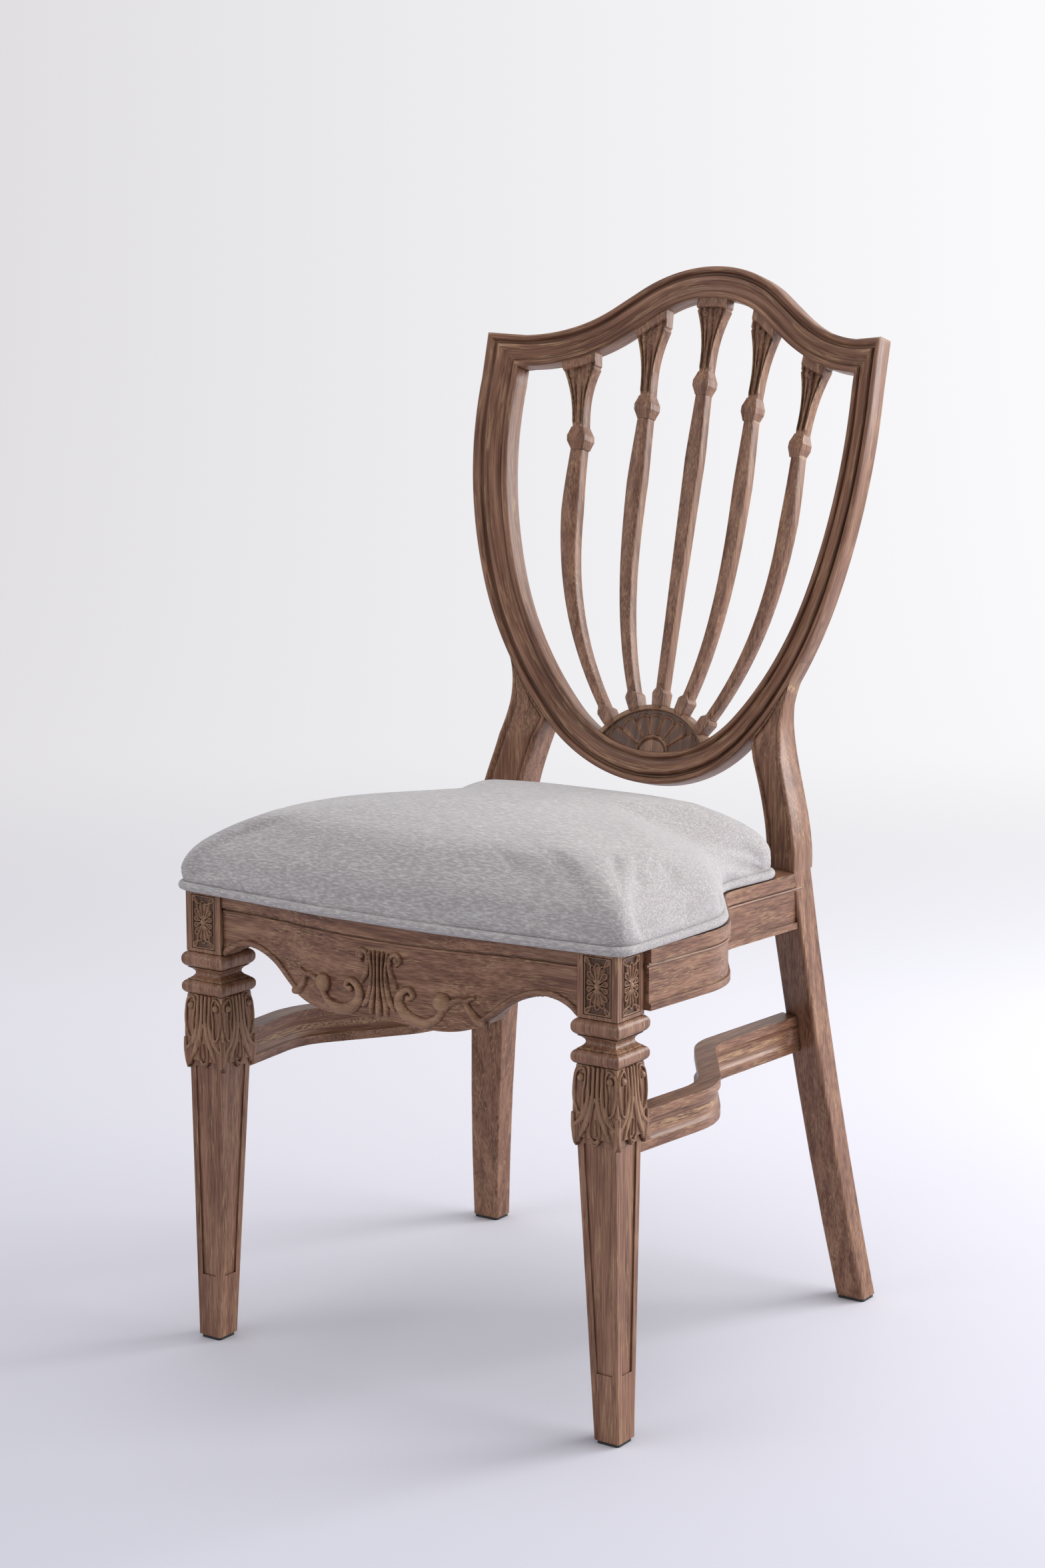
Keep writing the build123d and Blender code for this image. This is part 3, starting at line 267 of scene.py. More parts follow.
@dataclass(frozen=True)
class GreyTwill:
    """Woven polyester twill, salt and pepper: light grey, matt, with a fine diagonal."""

    thread: str = "#c2bebd"
    shade: str = "#9a9595"
    # Real yarns lie closer: drawn this coarse so that they show
    pitch: float = 1.3 * MM
    slub: float = 9 * MM
    relief: float = 0.35 * MM

    def build(self) -> bpy.types.Material:
        """Make the woven finish, from object coordinates so that it needs no unwrapping.

        Returns:
            The finish.
        """
        material, tree, shader = new_material("grey_polyester_twill")
        place = add_node(tree, "TexCoord").outputs["Object"]
        ribs = []
        for turn in (38, -52):
            stretch = (1 / (5 * self.pitch), 1 / self.pitch, 1 / self.pitch)
            lay = (0, 0, math.radians(turn))
            ready = add_node(tree, "Mapping", Vector=place, Rotation=lay, Scale=stretch)
            rib = add_node(tree, "TexNoise", Vector=ready.outputs["Vector"], Scale=1.0, Detail=1.0)
            ribs.append(rib.outputs["Fac"])
        yarn = add_node(tree, "Math", operation="MAXIMUM", _0=ribs[0], _1=ribs[1])
        cloud = add_node(tree, "TexNoise", Vector=place, Scale=1 / self.slub, Detail=3.0)
        tone = add_node(tree, "Math", operation="MULTIPLY_ADD", _0=cloud.outputs["Fac"], _1=0.06)
        tree.links.new(yarn.outputs[0], tone.inputs[2])
        ramp = add_node(tree, "ValToRGB", Fac=tone.outputs[0])
        stops = ramp.color_ramp.elements
        stops[0].position, stops[0].color = 0.5, srgb(self.shade)
        stops[1].position, stops[1].color = 0.82, srgb(self.thread)
        tree.links.new(ramp.outputs["Color"], shader.inputs["Base Color"])
        shader.inputs["Roughness"].default_value = 0.92
        shader.inputs["Sheen Weight"].default_value = 0.25
        bump = add_node(tree, "Bump", Strength=0.5, Distance=self.relief, Height=yarn.outputs[0])
        tree.links.new(bump.outputs["Normal"], shader.inputs["Normal"])
        return material


@dataclass(frozen=True)
class PlainFinish:
    """An even finish with a slight mottle, for parts that hardly show."""

    name: str
    colour: str
    roughness: float
    metallic: float = 0.0
    mottle: float = 6 * MM

    def build(self) -> bpy.types.Material:
        """Make the finish, a little uneven as real stock is.

        Returns:
            The finish.
        """
        material, tree, shader = new_material(self.name)
        place = add_node(tree, "TexCoord").outputs["Object"]
        speck = add_node(tree, "TexNoise", Vector=place, Scale=1 / self.mottle, Detail=2.0).outputs["Fac"]
        value = add_node(tree, "MapRange", Value=speck, To_Min=0.85, To_Max=1.1).outputs[0]
        tint = add_node(tree, "HueSaturation", Value=value, Color=srgb(self.colour))
        tree.links.new(tint.outputs["Color"], shader.inputs["Base Color"])
        shader.inputs["Roughness"].default_value = self.roughness
        shader.inputs["Metallic"].default_value = self.metallic
        return material


class Finishes:
    """Every finish of the chair, built once."""

    def __init__(self) -> None:
        """Build the wood effect for each grain direction, then the rest."""
        self.wood = {grain: WalnutEffectPlastic().build(grain) for grain in Grain}
        # Carved pieces: no edge wear, finer emboss, and glaze and painted shade in hollows over a shorter
        # reach
        self.carved = WalnutEffectPlastic("carved_walnut_effect_plastic", wear=0.0, emboss=0.1 * MM,
                                          glaze_and_shade_reach=2.5 * MM).build(Grain.MESH)
        self.twill = GreyTwill().build()
        # Turned beech is pale tan and matt, zinc plate a cool grey gleam, moulded nylon a dull black,
        # hook and loop a rough black, sawn birch ply a pale edge and spunbond cloth flat black
        self.plain = {
            "beech_dowel": PlainFinish("beech", "#c9a77c", 0.6).build(),
            "zinc_screw": PlainFinish("zinc_plated_steel", "#b9bcc0", 0.35, 1.0).build(),
            "foot_glide": PlainFinish("black_nylon", "#2a2828", 0.55).build(),
            "hook_and_loop": PlainFinish("black_woven_nylon", "#1d1c1e", 0.9, mottle=1.5 * MM).build(),
            "birch_ply": PlainFinish("birch_plywood", "#cdb189", 0.6).build(),
            "base_cloth": PlainFinish("black_spunbond_cloth", "#232224", 0.95, mottle=1 * MM).build(),
        }


def mesh_object(name: str, points: np.ndarray, faces: list, grain: np.ndarray | None = None,
                crease: float = 38.0, marks: dict[str, np.ndarray] | None = None) -> bpy.types.Object:
    """Closed mesh with outward faces, smooth but for creases.

    Args:
        name: piece name.
        points: vertices in the row frame.
        faces: vertex indices of each face.
        grain: per-vertex coordinates of the wood figure, its first component along the grain.
        crease: edges sharper than this many degrees stay sharp.
        marks: per-vertex shares by name, for the finish: raised high points, and sunk ground darkened as
            glaze and painted shade.

    Returns:
        The linked object.
    """
    mesh = bpy.data.meshes.new(name)
    mesh.from_pydata(np.asarray(points).tolist(), [], faces)
    shell = bmesh.new()
    shell.from_mesh(mesh)
    bmesh.ops.recalc_face_normals(shell, faces=shell.faces)
    shell.to_mesh(mesh)
    shell.free()
    if grain is not None:
        figure = mesh.attributes.new("grain", "FLOAT_VECTOR", "POINT")
        figure.data.foreach_set("vector", np.asarray(grain, dtype=np.float32).ravel())
    for mark, share in (marks or {}).items():
        mesh.attributes.new(mark, "FLOAT", "POINT").data.foreach_set("value", share.astype(np.float32))
    mesh.shade_smooth()
    mesh.set_sharp_from_angle(angle=math.radians(crease))
    piece = bpy.data.objects.new(name, mesh)
    bpy.context.scene.collection.objects.link(piece)
    return piece


def dress(piece: bpy.types.Object, material: bpy.types.Material, slot: str, body: str, *nodes: str) -> None:
    """Give a modelled piece its finish, hang it on its body's empty, and let it stand for CAD nodes.

    Args:
        piece: the modelled piece.
        material: its finish.
        slot: not used.
        body: the body it rides on.
        *nodes: CAD nodes that it stands for.
    """
    piece.data.materials.append(material)
    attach(piece, body)
    if nodes:
        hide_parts(*nodes)
    LOG.info("%s: %d faces", piece.name, len(piece.data.polygons))


def ring_faces(rings: int, around: int) -> list[tuple[int, ...]]:
    """List the faces of a stack of closed rings with both ends capped.

    Args:
        rings: rings in the stack.
        around: points round a ring.

    Returns:
        Vertex indices of each face.
    """
    faces = []
    for i in range(rings - 1):
        low, high = i * around, (i + 1) * around
        faces += [(low + j, low + (j + 1) % around, high + (j + 1) % around, high + j) for j in range(around)]
    last = (rings - 1) * around
    return faces + [tuple(range(around)), tuple(range(last, last + around))]


def slab_faces(kept: np.ndarray) -> list[tuple[int, ...]]:
    """List the faces of a slab on a grid of points, its underside numbered after its top.

    Args:
        kept: whether each cell of the grid is part of the slab.

    Returns:
        Faces of the top, the underside and the walls round the kept cells.
    """
    columns = kept.shape[1] + 1
    count = (kept.shape[0] + 1) * columns
    inside = np.pad(kept, 1)
    faces = []
    for i, j in np.argwhere(kept).tolist():
        a, b = i * columns + j, (i + 1) * columns + j
        faces += [(a, b, b + 1, a + 1), (count + a, count + a + 1, count + b + 1, count + b)]
        for di, dj, p, q in ((0, -1, a, b), (1, 0, b, b + 1), (0, 1, b + 1, a + 1), (-1, 0, a + 1, a)):
            if not inside[i + di + 1, j + dj + 1]:
                faces.append((p, q, count + q, count + p))
    return faces


def tangent_arc(start: Pair, tangent: Pair, end: Pair, count: int) -> tuple[np.ndarray, np.ndarray]:
    """Draw the arc that leaves a point along a tangent and reaches another point.

    Args:
        start: first point.
        tangent: direction at the first point.
        end: last point.
        count: steps along the arc.

    Returns:
        Points and unit tangents.
    """
    start, along, end = (np.asarray(v, dtype=float) for v in (start, tangent, end))
    along = along / np.hypot(*along)
    side = np.array([-along[1], along[0]])
    chord = end - start
    half_turn = math.atan2(chord @ side, chord @ along)
    radius = np.hypot(*chord) / (2 * math.sin(half_turn))
    turn = np.linspace(0, 2 * half_turn, count + 1)[:, None]
    points = start + radius * (np.sin(turn) * along + (1 - np.cos(turn)) * side)
    return points, np.cos(turn) * along + np.sin(turn) * side


def corner_arc(before: np.ndarray, here: np.ndarray, after: np.ndarray, radius: float,
               count: int) -> np.ndarray:
    """Round a corner of a line.

    Args:
        before: point ahead of the corner.
        here: the corner.
        after: point past the corner.
        radius: radius of the rounding.
        count: steps along the arc.

    Returns:
        Points of the arc.
    """
    back, ahead = before - here, after - here
    back, ahead = back / np.hypot(*back), ahead / np.hypot(*ahead)
    run = radius / math.tan(math.acos(np.clip(back @ ahead, -1, 1)) / 2)
    return tangent_arc(here + run * back, -back, here + run * ahead, count)[0]


def smooth(value: Values, low: float, high: float) -> np.ndarray:
    """Smooth step from 0 at low to 1 at high."""
    share = np.clip((np.asarray(value) - low) / (high - low), 0, 1)
    return share * share * (3 - 2 * share)


@dataclass(frozen=True)
class BackSheet:
    """The leaning, curved sheet that every piece of the back lies in."""

    rake: float = math.radians(13.9)
    radius: float = 445 * MM
    depth: float = 404.5 * MM
    height: float = 512.3 * MM

    def place(self, x: Values, up: Values, behind: Values) -> np.ndarray:
        """Find places on the sheet.

        Args:
            x: distance across.
            up: distance up the sheet.
            behind: depth behind its face.

        Returns:
            Row-frame points.
        """
        x, up, behind = np.broadcast_arrays(x, up, behind)
        bow = np.sqrt((self.radius + behind) ** 2 - x**2) - self.radius
        y = DATUM_Y + self.depth + up * math.sin(self.rake) + bow * math.cos(self.rake)
        z = self.height + up * math.cos(self.rake) - bow * math.sin(self.rake)
        return np.stack([x, y, z], axis=-1)

    def up_at(self, x: Values, z: Values, behind: Values) -> np.ndarray:
        """Place up the sheet of a point at a height above the floor."""
        bow = np.sqrt((self.radius + behind) ** 2 - x**2) - self.radius
        return (z - self.height + bow * math.sin(self.rake)) / math.cos(self.rake)

    def plumb_depth(self, x: Values, behind: Values) -> np.ndarray:
        """Row-frame Y of the upright continuation of the sheet below the back."""
        return DATUM_Y + self.depth + np.sqrt((self.radius + behind) ** 2 - x**2) - self.radius


@dataclass(frozen=True)
class Shield:
    """Outline of the shield and the moulded rim that follows it."""

    sheet: BackSheet = BackSheet()
    half_width: float = 216 * MM
    corner: float = 385 * MM
    side: float = 340 * MM
    flank: float = 145 * MM
    belly: float = 14 * MM
    bottom: float = -34.5 * MM
    crest_top: float = 464 * MM
    arch_x: float = 78 * MM
    arch_drop: float = 26 * MM
    slope_run: float = 32 * MM
    shoulder_run: float = 18 * MM
    width: float = 30.5 * MM
    seam: float = 0.1 * MM

    @property
    def belly_x(self) -> float:
        """Distance across where the bow's bottom turns into its flank."""
        return 0.52 * self.half_width

    @property
    def flank_x(self) -> float:
        """Distance across where the flank turns into the upright side."""
        return 0.88 * self.half_width

    def bow_half(self) -> tuple[np.ndarray, np.ndarray]:
        """Draw the right half of the bow, upwards from its middle.

        Returns:
            Points and unit tangents.
        """
        first, t1 = tangent_arc((0, self.bottom), (1, 0), (self.belly_x, self.belly), 24)
        second, t2 = tangent_arc(first[-1], t1[-1], (self.flank_x, self.flank), 26)
        third, t3 = tangent_arc(second[-1], t2[-1], (self.half_width, self.side), 18)
        return np.vstack([first, second[1:], third[1:]]), np.vstack([t1, t2[1:], t3[1:]])

    def crest_half(self) -> tuple[np.ndarray, np.ndarray]:
        """Draw the right half of the crest, outwards from its middle, short of the mitre.

        Returns:
            Points and unit tangents.
        """
        foot = (self.arch_x, self.crest_top - self.arch_drop)
        arch, t1 = tangent_arc((0, self.crest_top), (1, 0), foot, 26)
        slope = arch[-1] + t1[-1] * self.slope_run
        end = (self.half_width - self.shoulder_run, self.corner)
        shoulder, t2 = tangent_arc(slope, t1[-1], end, 26)
        kept = shoulder[:, 0] < self.half_width - self.width - 2 * MM
        return np.vstack([arch, shoulder[kept]]), np.vstack([t1, t2[kept]])

    def inner_edge(self, half: tuple[np.ndarray, np.ndarray], inset: float) -> np.ndarray:
        """Draw a half outline in by an inset.

        Args:
            half: points and unit tangents of the outline.
            inset: how far in.

        Returns:
            Points sorted by distance across.
        """
        points, tangents = half
        turn = 1 if tangents[0, 0] > 0 and points[-1, 1] > points[0, 1] else -1
        inward = turn * np.stack([-tangents[:, 1], tangents[:, 0]], axis=1)
        edge = points + inset * inward
        return edge[np.argsort(edge[:, 0])]

    def profile(self) -> np.ndarray:
        """Draw the section of the rim, in millimetres of inset and depth, then scale it.

        Returns:
            Inset and depth of each point round the section.
        """
        bead = [(0, 19.5), (0, 3.2), (0.35, 1.7), (1.2, 0.55), (2.6, 0), (4.3, 0.15), (5.2, 0.8), (5.9, 2.2)]
        groove = [(6.4, 3.9), (7.2, 4.4), (8.3, 4.3), (9.1, 2.9), (9.8, 1.3)]
        swell = [(10.9, 0.35), (12.6, 0.1), (14.4, 0.6), (16.6, 1.9), (19.2, 2.9), (21.4, 3.2), (23.0, 3.1)]
        inner_bead = [(23.8, 3.9), (24.5, 3.9), (25.2, 2.0), (25.8, 0.9), (26.7, 0.3), (28.1, 0), (29.5, 0.5)]
        back = [(30.3, 1.6), (30.5, 3.2), (30.5, 19.5), (29, 21), (1.5, 21)]
        return np.array(bead + groove + swell + inner_bead + back) * MM

    def sweep(self, name: str, base: np.ndarray, inward: np.ndarray, ends: tuple) -> bpy.types.Object:
        """Carry the rim's section along an outline between two mitred ends.

        Args:
            name: piece name.
            base: outline points.
            inward: unit vectors into the shield at those points.
            ends: mitre corner and inward diagonal at the start and at the end.

        Returns:
            The rim piece.
        """
        profile = self.profile()
        inset, depth = profile[:, 0], profile[:, 1]
        rows = [ends[0][0] + inset[:, None] * ends[0][1]]
        rows += [point + inset[:, None] * way for point, way in zip(base, inward)]
        rows.append(ends[1][0] + inset[:, None] * ends[1][1])
        flat = np.array(rows)
        run = np.concatenate([[0], np.cumsum(np.hypot(*np.diff(flat[:, 0], axis=0).T))])
        points = self.sheet.place(flat[..., 0], flat[..., 1], depth[None, :]).reshape(-1, 3)
        shape = flat.shape[:2]
        grain = np.stack(np.broadcast_arrays(run[:, None], inset[None, :], depth[None, :]), axis=-1)
        return mesh_object(name, points, ring_faces(*shape), grain.reshape(-1, 3), crease=50)

    def build(self, finishes: Finishes) -> None:
        """Model the bow and the crest rail, mitred at the upper corners.

        Args:
            finishes: the chair's finishes.
        """
        corner = np.array([self.half_width, self.corner])
        left = corner * (-1, 1)
        diagonal = np.array([-1.0, -1.0])
        points, tangents = self.bow_half()
        inward = np.stack([-tangents[:, 1], tangents[:, 0]], axis=1)
        flip = np.array([-1, 1])
        base = np.vstack([(points * flip)[:0:-1], points])
        ways = np.vstack([(inward * flip)[:0:-1], inward])
        drop = np.array([0, -self.seam])
        bow = self.sweep("rim_bow", base, ways, ((left + drop, diagonal * flip), (corner + drop, diagonal)))
        points, tangents = self.crest_half()
        inward = np.stack([tangents[:, 1], -tangents[:, 0]], axis=1)
        base = np.vstack([points[::-1], (points * flip)[1:]])
        ways = np.vstack([inward[::-1], (inward * flip)[1:]])
        crest = self.sweep("rim_crest", base, ways, ((corner, diagonal), (left, diagonal * flip)))
        dress(bow, finishes.wood[Grain.MESH], WOOD_SLOT, BODY, "shield_bow")
        dress(crest, finishes.wood[Grain.MESH], WOOD_SLOT, BODY, "crest_rail")


@dataclass(frozen=True)
class Fan:
    """Half-round fan at the foot of the back: petals round a disc, inside a raised band."""

    shield: Shield = Shield()
    top: float = 41 * MM
    radius: float = 72 * MM
    set_back: float = 3 * MM
    thick: float = 15 * MM
    band: float = 4.5 * MM
    petals: int = 7
    spread: float = math.radians(166)
    hub_up: float = -6.5 * MM
    disc: float = 17.5 * MM
    field_depth: float = 2.6 * MM
    band_rise: float = 2.4 * MM
    band_swell: float = 0.5 * MM
    lip_half: float = 0.9 * MM
    rib_half: float = 0.75 * MM
    ridge_rise: float = 1.7 * MM
    ring_half: float = 1.3 * MM
    ring_rise: float = 2.4 * MM
    boss_rise: float = 1.3 * MM
    across: int = 280
    rows: int = 90

    def edge(self, x: Values) -> np.ndarray:
        """Place up the sheet of the fan's round edge."""
        return self.top - self.radius + np.sqrt(np.maximum(self.radius**2 - np.asarray(x) ** 2, 0))

    def relief(self, x: np.ndarray, up: np.ndarray) -> np.ndarray:
        """Carve the fan.

        Args:
            x: places across.
            up: places up the sheet.

        Returns:
            Height of the carving above the sunk field.
        """
        rim_gap = self.radius - np.hypot(x, up - self.top + self.radius)
        off_band = (rim_gap - self.band / 2) / (self.band / 2)
        band = self.band_rise * smooth(-rim_gap, -self.band - 0.7 * MM, -self.band + 0.5 * MM)
        band = band + self.band_swell * np.sqrt(np.clip(1 - off_band**2, 0, 1))
        reach = np.hypot(x, up - self.hub_up)
        bearing = np.arctan2(up - self.hub_up, x) - math.pi / 2
        share = (bearing / self.spread + 0.5) * self.petals
        local = 2 * (share - np.floor(share)) - 1
        middle = (np.floor(share) + 0.5) / self.petals - 0.5
        angle = middle * self.spread + math.pi / 2
        rise = np.sin(angle)
        offset = self.hub_up - self.top + self.radius
        limit = self.radius - self.band - 4.2 * MM
        length = -offset * rise + np.sqrt(np.maximum((offset * rise) ** 2 - offset**2 + limit**2, 0))
        half = np.maximum(reach * self.spread / self.petals / 2, 1 * MM)
        tip = length - 0.62 * half * (1 - np.sqrt(np.clip(1 - local**2, 0, 1))) - 0.6 * MM
        sector = np.abs(share - self.petals / 2) < self.petals / 2
        inside = smooth(tip - reach, 0, 0.8 * MM) * sector
        lip = np.exp(-(((tip - reach) / self.lip_half) ** 2)) * sector
        rib = np.exp(-(((1 - np.abs(local)) * half / self.rib_half) ** 2)) * (reach < tip) * sector
        ridge = self.ridge_rise * np.maximum(lip, rib) * (rim_gap > self.band)
        petal = inside * (0.2 + 0.9 * local**2) * MM + ridge
        ring = np.exp(-(((reach - self.disc) / self.ring_half) ** 2)) * self.ring_rise
        boss = smooth(self.disc - 2.5 * MM - reach, 0, 1 * MM) * self.boss_rise
        hub = np.maximum(ring, boss)
        return np.where(reach < self.disc + 1.5 * MM, np.maximum(hub, band), np.maximum(petal, band))

    def build(self, finishes: Finishes) -> None:
        """Model the fan as one carved slab between the bow and its round edge.

        Args:
            finishes: the chair's finishes.
        """
        inner = self.shield.inner_edge(self.shield.bow_half(), self.shield.width)
        reach = self.radius * 0.962
        x = np.linspace(-reach, reach, self.across)
        low = np.interp(np.abs(x), inner[:, 0], inner[:, 1]) - 3 * MM
        high = np.maximum(self.edge(x), low + 0.5 * MM)
        share = np.linspace(0, 1, self.rows)
        up = low[:, None] + share[None, :] * (high - low)[:, None]
        across = np.broadcast_to(x[:, None], up.shape)
        field = self.set_back + self.field_depth
        relief = self.relief(across, up)
        front = field - relief
        sheet = self.shield.sheet
        top = sheet.place(across, up, front).reshape(-1, 3)
        back = sheet.place(across, up, self.set_back + self.thick).reshape(-1, 3)
        count = len(top)
        faces = slab_faces(np.ones((self.across - 1, self.rows - 1), dtype=bool))
        grain = np.stack([up, across, np.zeros_like(up)], axis=-1).reshape(-1, 3)
        plain = np.zeros(count)
        # Raised high points wiped pale; sunk ground darkened as glaze and painted shade
        marks = {
            "raised": np.concatenate([(relief.ravel() / relief.max()).clip(0, 1), plain]),
            "sunk": np.concatenate([0.8 * (1 - smooth(relief.ravel(), 0.25 * MM, 0.8 * MM)), plain]),
        }
        points, figure = np.vstack([top, back]), np.vstack([grain, grain])
        carved = mesh_object("carved_fan", points, faces, figure, marks=marks)
        dress(carved, finishes.carved, WOOD_SLOT, BODY, "fan_lunette")


@dataclass(frozen=True)
class Baluster:
    """One bowed baluster: shaft, knop, leaf capital under the crest and collar on the fan."""

    node: str
    top_x: float
    foot_x: float
    knop: float
    # Power of the curve below the knop, and slope of the middle line above it
    bend: float
    lean: float
    fan: Fan = Fan()
    set_back: float = 3 * MM
    depth: float = 14 * MM
    foot_half: float = 4.6 * MM
    swell_half: float = 8.3 * MM
    swell_drop: float = 60 * MM
    neck_half: float = 5.6 * MM
    capital_half: float = 16.5 * MM
    capital_rise: float = 84 * MM
    knop_half: float = 8.6 * MM
    knop_height: float = 22 * MM
    knop_depth: float = 19 * MM
    collar_half: float = 6.2 * MM
    collar_height: float = 14 * MM
    collar_depth: float = 18 * MM
    leaf_depth: float = 3.4 * MM
    tongue_rise: float = 3.0 * MM
    leaf_rise: float = 1.9 * MM
    edge_rise: float = 2.6 * MM
    eye_rise: float = 1.2 * MM
    across: int = 33

    @property
    def foot(self) -> float:
        """Place up the sheet where the middle line meets the fan."""
        return float(self.fan.edge(self.foot_x))

    @property
    def crest(self) -> float:
        """Place up the sheet where the middle line meets the crest rail.

        Returns:
            Distance up the sheet.
        """
        shield = self.fan.shield
        edge = shield.inner_edge(shield.crest_half(), shield.width)
        return float(np.interp(abs(self.top_x), edge[:, 0], edge[:, 1]))

    def middle(self, up: Values) -> np.ndarray:
        """Draw the middle line.

        Args:
            up: places up the sheet.

        Returns:
            Distance across the sheet.
        """
        shaft_top = self.knop - self.knop_height / 2
        bowed = np.clip((shaft_top - up) / (shaft_top - self.foot), 0, None)
        leaning = self.lean * np.clip(up - self.knop, 0, None)
        return self.top_x - (self.top_x - self.foot_x) * bowed**self.bend + leaning

    def half(self, up: Values) -> np.ndarray:
        """Size the shaft and the capital.

        Args:
            up: places up the sheet.

        Returns:
            Half width.
        """
        shaft_top = self.knop - self.knop_height / 2
        drop = shaft_top - self.foot
        levels = [self.foot, self.foot + 0.25 * drop, self.foot + 0.5 * drop, shaft_top - self.swell_drop]
        swell = self.swell_half - self.foot_half
        halves = [*(self.foot_half + share * swell for share in (0, 0.2, 0.55)), self.swell_half]
        body = np.interp(up, [*levels, self.knop], [*halves, self.neck_half])
        above = (1 - smooth(up, levels[-1] - 10 * MM, self.knop)) ** 0.9
        body = np.where(up > levels[-1], self.neck_half + (self.swell_half - self.neck_half) * above, body)
        rise = min(self.capital_rise, self.crest - 11 * MM - self.knop)
        flare = np.clip((up - self.knop - 0.28 * rise) / (0.72 * rise), 0, 1)
        band = smooth(up, self.crest - 10.5 * MM, self.crest - 9 * MM)
        nick = 1.4 * MM * smooth(flare, 0.97, 1) * (1 - band)
        return body + (self.capital_half - self.neck_half) * flare**2.1 - nick

    def relief(self, share: np.ndarray, up: np.ndarray, crest: np.ndarray) -> np.ndarray:
        """Carve the front: crowned shaft and fluted leaf capital.

        Args:
            share: place across, from -1 to 1.
            up: places up the sheet.
            crest: where the crest rail begins above each place.

        Returns:
            How far the front falls behind its foremost line.
        """
        crowned = 1.1 * MM * share**2 + 1.4 * MM * smooth(np.abs(share), 0.86, 1.0)
        start = self.knop + self.knop_height / 2
        rise = np.clip((up - start) / np.maximum(crest - start, 1 * MM), 0, 1)
        tongue = np.sqrt(np.clip(1 - (share / (0.26 * (1 - smooth(rise, 0.45, 0.86)) + 0.02)) ** 2, 0, 1))
        tongue = tongue * (rise < 0.86)
        leaf_mid = 0.62 - 0.08 * rise
        leaf = np.sqrt(np.clip(1 - ((np.abs(share) - leaf_mid) / 0.16) ** 2, 0, 1))
        edge = np.sqrt(np.clip(1 - ((np.abs(share) - 0.95) / 0.1) ** 2, 0, 1))
        eye_gap = np.hypot((np.abs(share) - 0.5) * 12 * MM, up - (crest - 15 * MM))
        eye = np.exp(-(((eye_gap - 2.0 * MM) / (0.8 * MM)) ** 2))
        carved = self.leaf_depth - self.tongue_rise * tongue - self.edge_rise * edge
        carved = carved - self.leaf_rise * leaf * smooth(rise, 0.2, 0.5)
        carved = np.clip(carved, 0.1 * MM, None) - self.eye_rise * eye * (rise > 0.6)
        astragal = smooth(up, crest - 9.5 * MM, crest - 8.5 * MM)
        notch = 0.35 * MM * (0.5 + 0.5 * np.sin(share * 34))
        carved = carved * (1 - astragal) + astragal * (-0.6 * MM + notch)
        blend = smooth(up, start, start + 6 * MM)
        return crowned * (1 - blend) + carved * blend

    def stack(self, up: np.ndarray, half: np.ndarray, front: np.ndarray, back: np.ndarray,
              pivot: float) -> np.ndarray:
        """Stack the rings of a faceted block square to the middle line.

        Args:
            up: places of the rings along the middle line.
            half: half width of each ring.
            front: depth of its front.
            back: depth of its back.
            pivot: place up the sheet where the block is square to the line.

        Returns:
            Row-frame points of each ring.
        """
        share = np.array([-1, -1, -0.9, 0.9, 1, 1, 0.88, -0.88])
        depth = np.where(np.array([0, 1, 1, 1, 1, 0, 0, 0]), front[:, None], back[:, None])
        depth = depth + np.array([-1, 0.7, 0, 0, 0.7, -1, 0, 0]) * MM
        step = 1 * MM
        slope = float(self.middle(pivot + step) - self.middle(pivot)) / step
        length = math.hypot(1, slope)
        along = (up - pivot)[:, None]
        aside = share * half[:, None]
        x = float(self.middle(pivot)) + (along * slope + aside) / length
        high = pivot + (along - aside * slope) / length
        return self.fan.shield.sheet.place(x, high, depth)

    def build(self, finishes: Finishes) -> None:
        """Model the baluster and let it stand for its CAD node.

        Args:
            finishes: the chair's finishes.
        """
        shield = self.fan.shield
        sheet = shield.sheet
        crest_edge = shield.inner_edge(shield.crest_half(), shield.width)
        side = 1.0 if self.top_x >= 0 else -1.0
        up = np.concatenate([
            np.linspace(self.foot - 2 * MM, self.knop, 70)[:-1],
            np.linspace(self.knop, self.crest + 12 * MM, 110),
        ])
        share = np.linspace(-1, 1, self.across)
        mid, half = self.middle(up), self.half(up)
        x = mid[:, None] + share * half[:, None]
        edge_x = np.abs(np.clip(x * side, -1, 1))
        crest = np.interp(edge_x, crest_edge[:, 0], crest_edge[:, 1])
        tall = np.minimum(np.broadcast_to(up[:, None], x.shape), crest + 4 * MM)
        depth = self.set_back + self.relief(np.broadcast_to(share, x.shape), tall, crest)
        front = sheet.place(x, tall, depth)
        back_share = np.array([1, 0.9, -0.9, -1])
        back_x = mid[:, None] + back_share * half[:, None]
        back_depth = self.set_back + self.depth - np.array([1.2, 0, 0, 1.2]) * MM
        back_tall = np.minimum(np.broadcast_to(up[:, None], back_x.shape), tall[:, [-1, -1, 0, 0]])
        back = sheet.place(back_x, back_tall, np.broadcast_to(back_depth, back_x.shape))
        shaft = np.concatenate([front, back], axis=1)
        points = shaft.reshape(-1, 3)
        grain = np.stack([points[:, 2], points[:, 0], points[:, 1]], axis=1) + (0, self.top_x * 3, 0)
        faces = ring_faces(*shaft.shape[:2])
        piece = mesh_object(f"carved_{self.node}", points, faces, grain, crease=45)
        dress(piece, finishes.wood[Grain.MESH], WOOD_SLOT, BODY, self.node)
        for word, block in (("knop", self.knop_block()), ("collar", self.collar_block())):
            points = block.reshape(-1, 3)
            grain = np.stack([points[:, 2], points[:, 0], points[:, 1]], axis=1) + (0, self.top_x * 5, 0)
            faces = ring_faces(*block.shape[:2])
            faceted = mesh_object(f"{word}_of_{self.node}", points, faces, grain, crease=12)
            dress(faceted, finishes.carved, WOOD_SLOT, BODY)

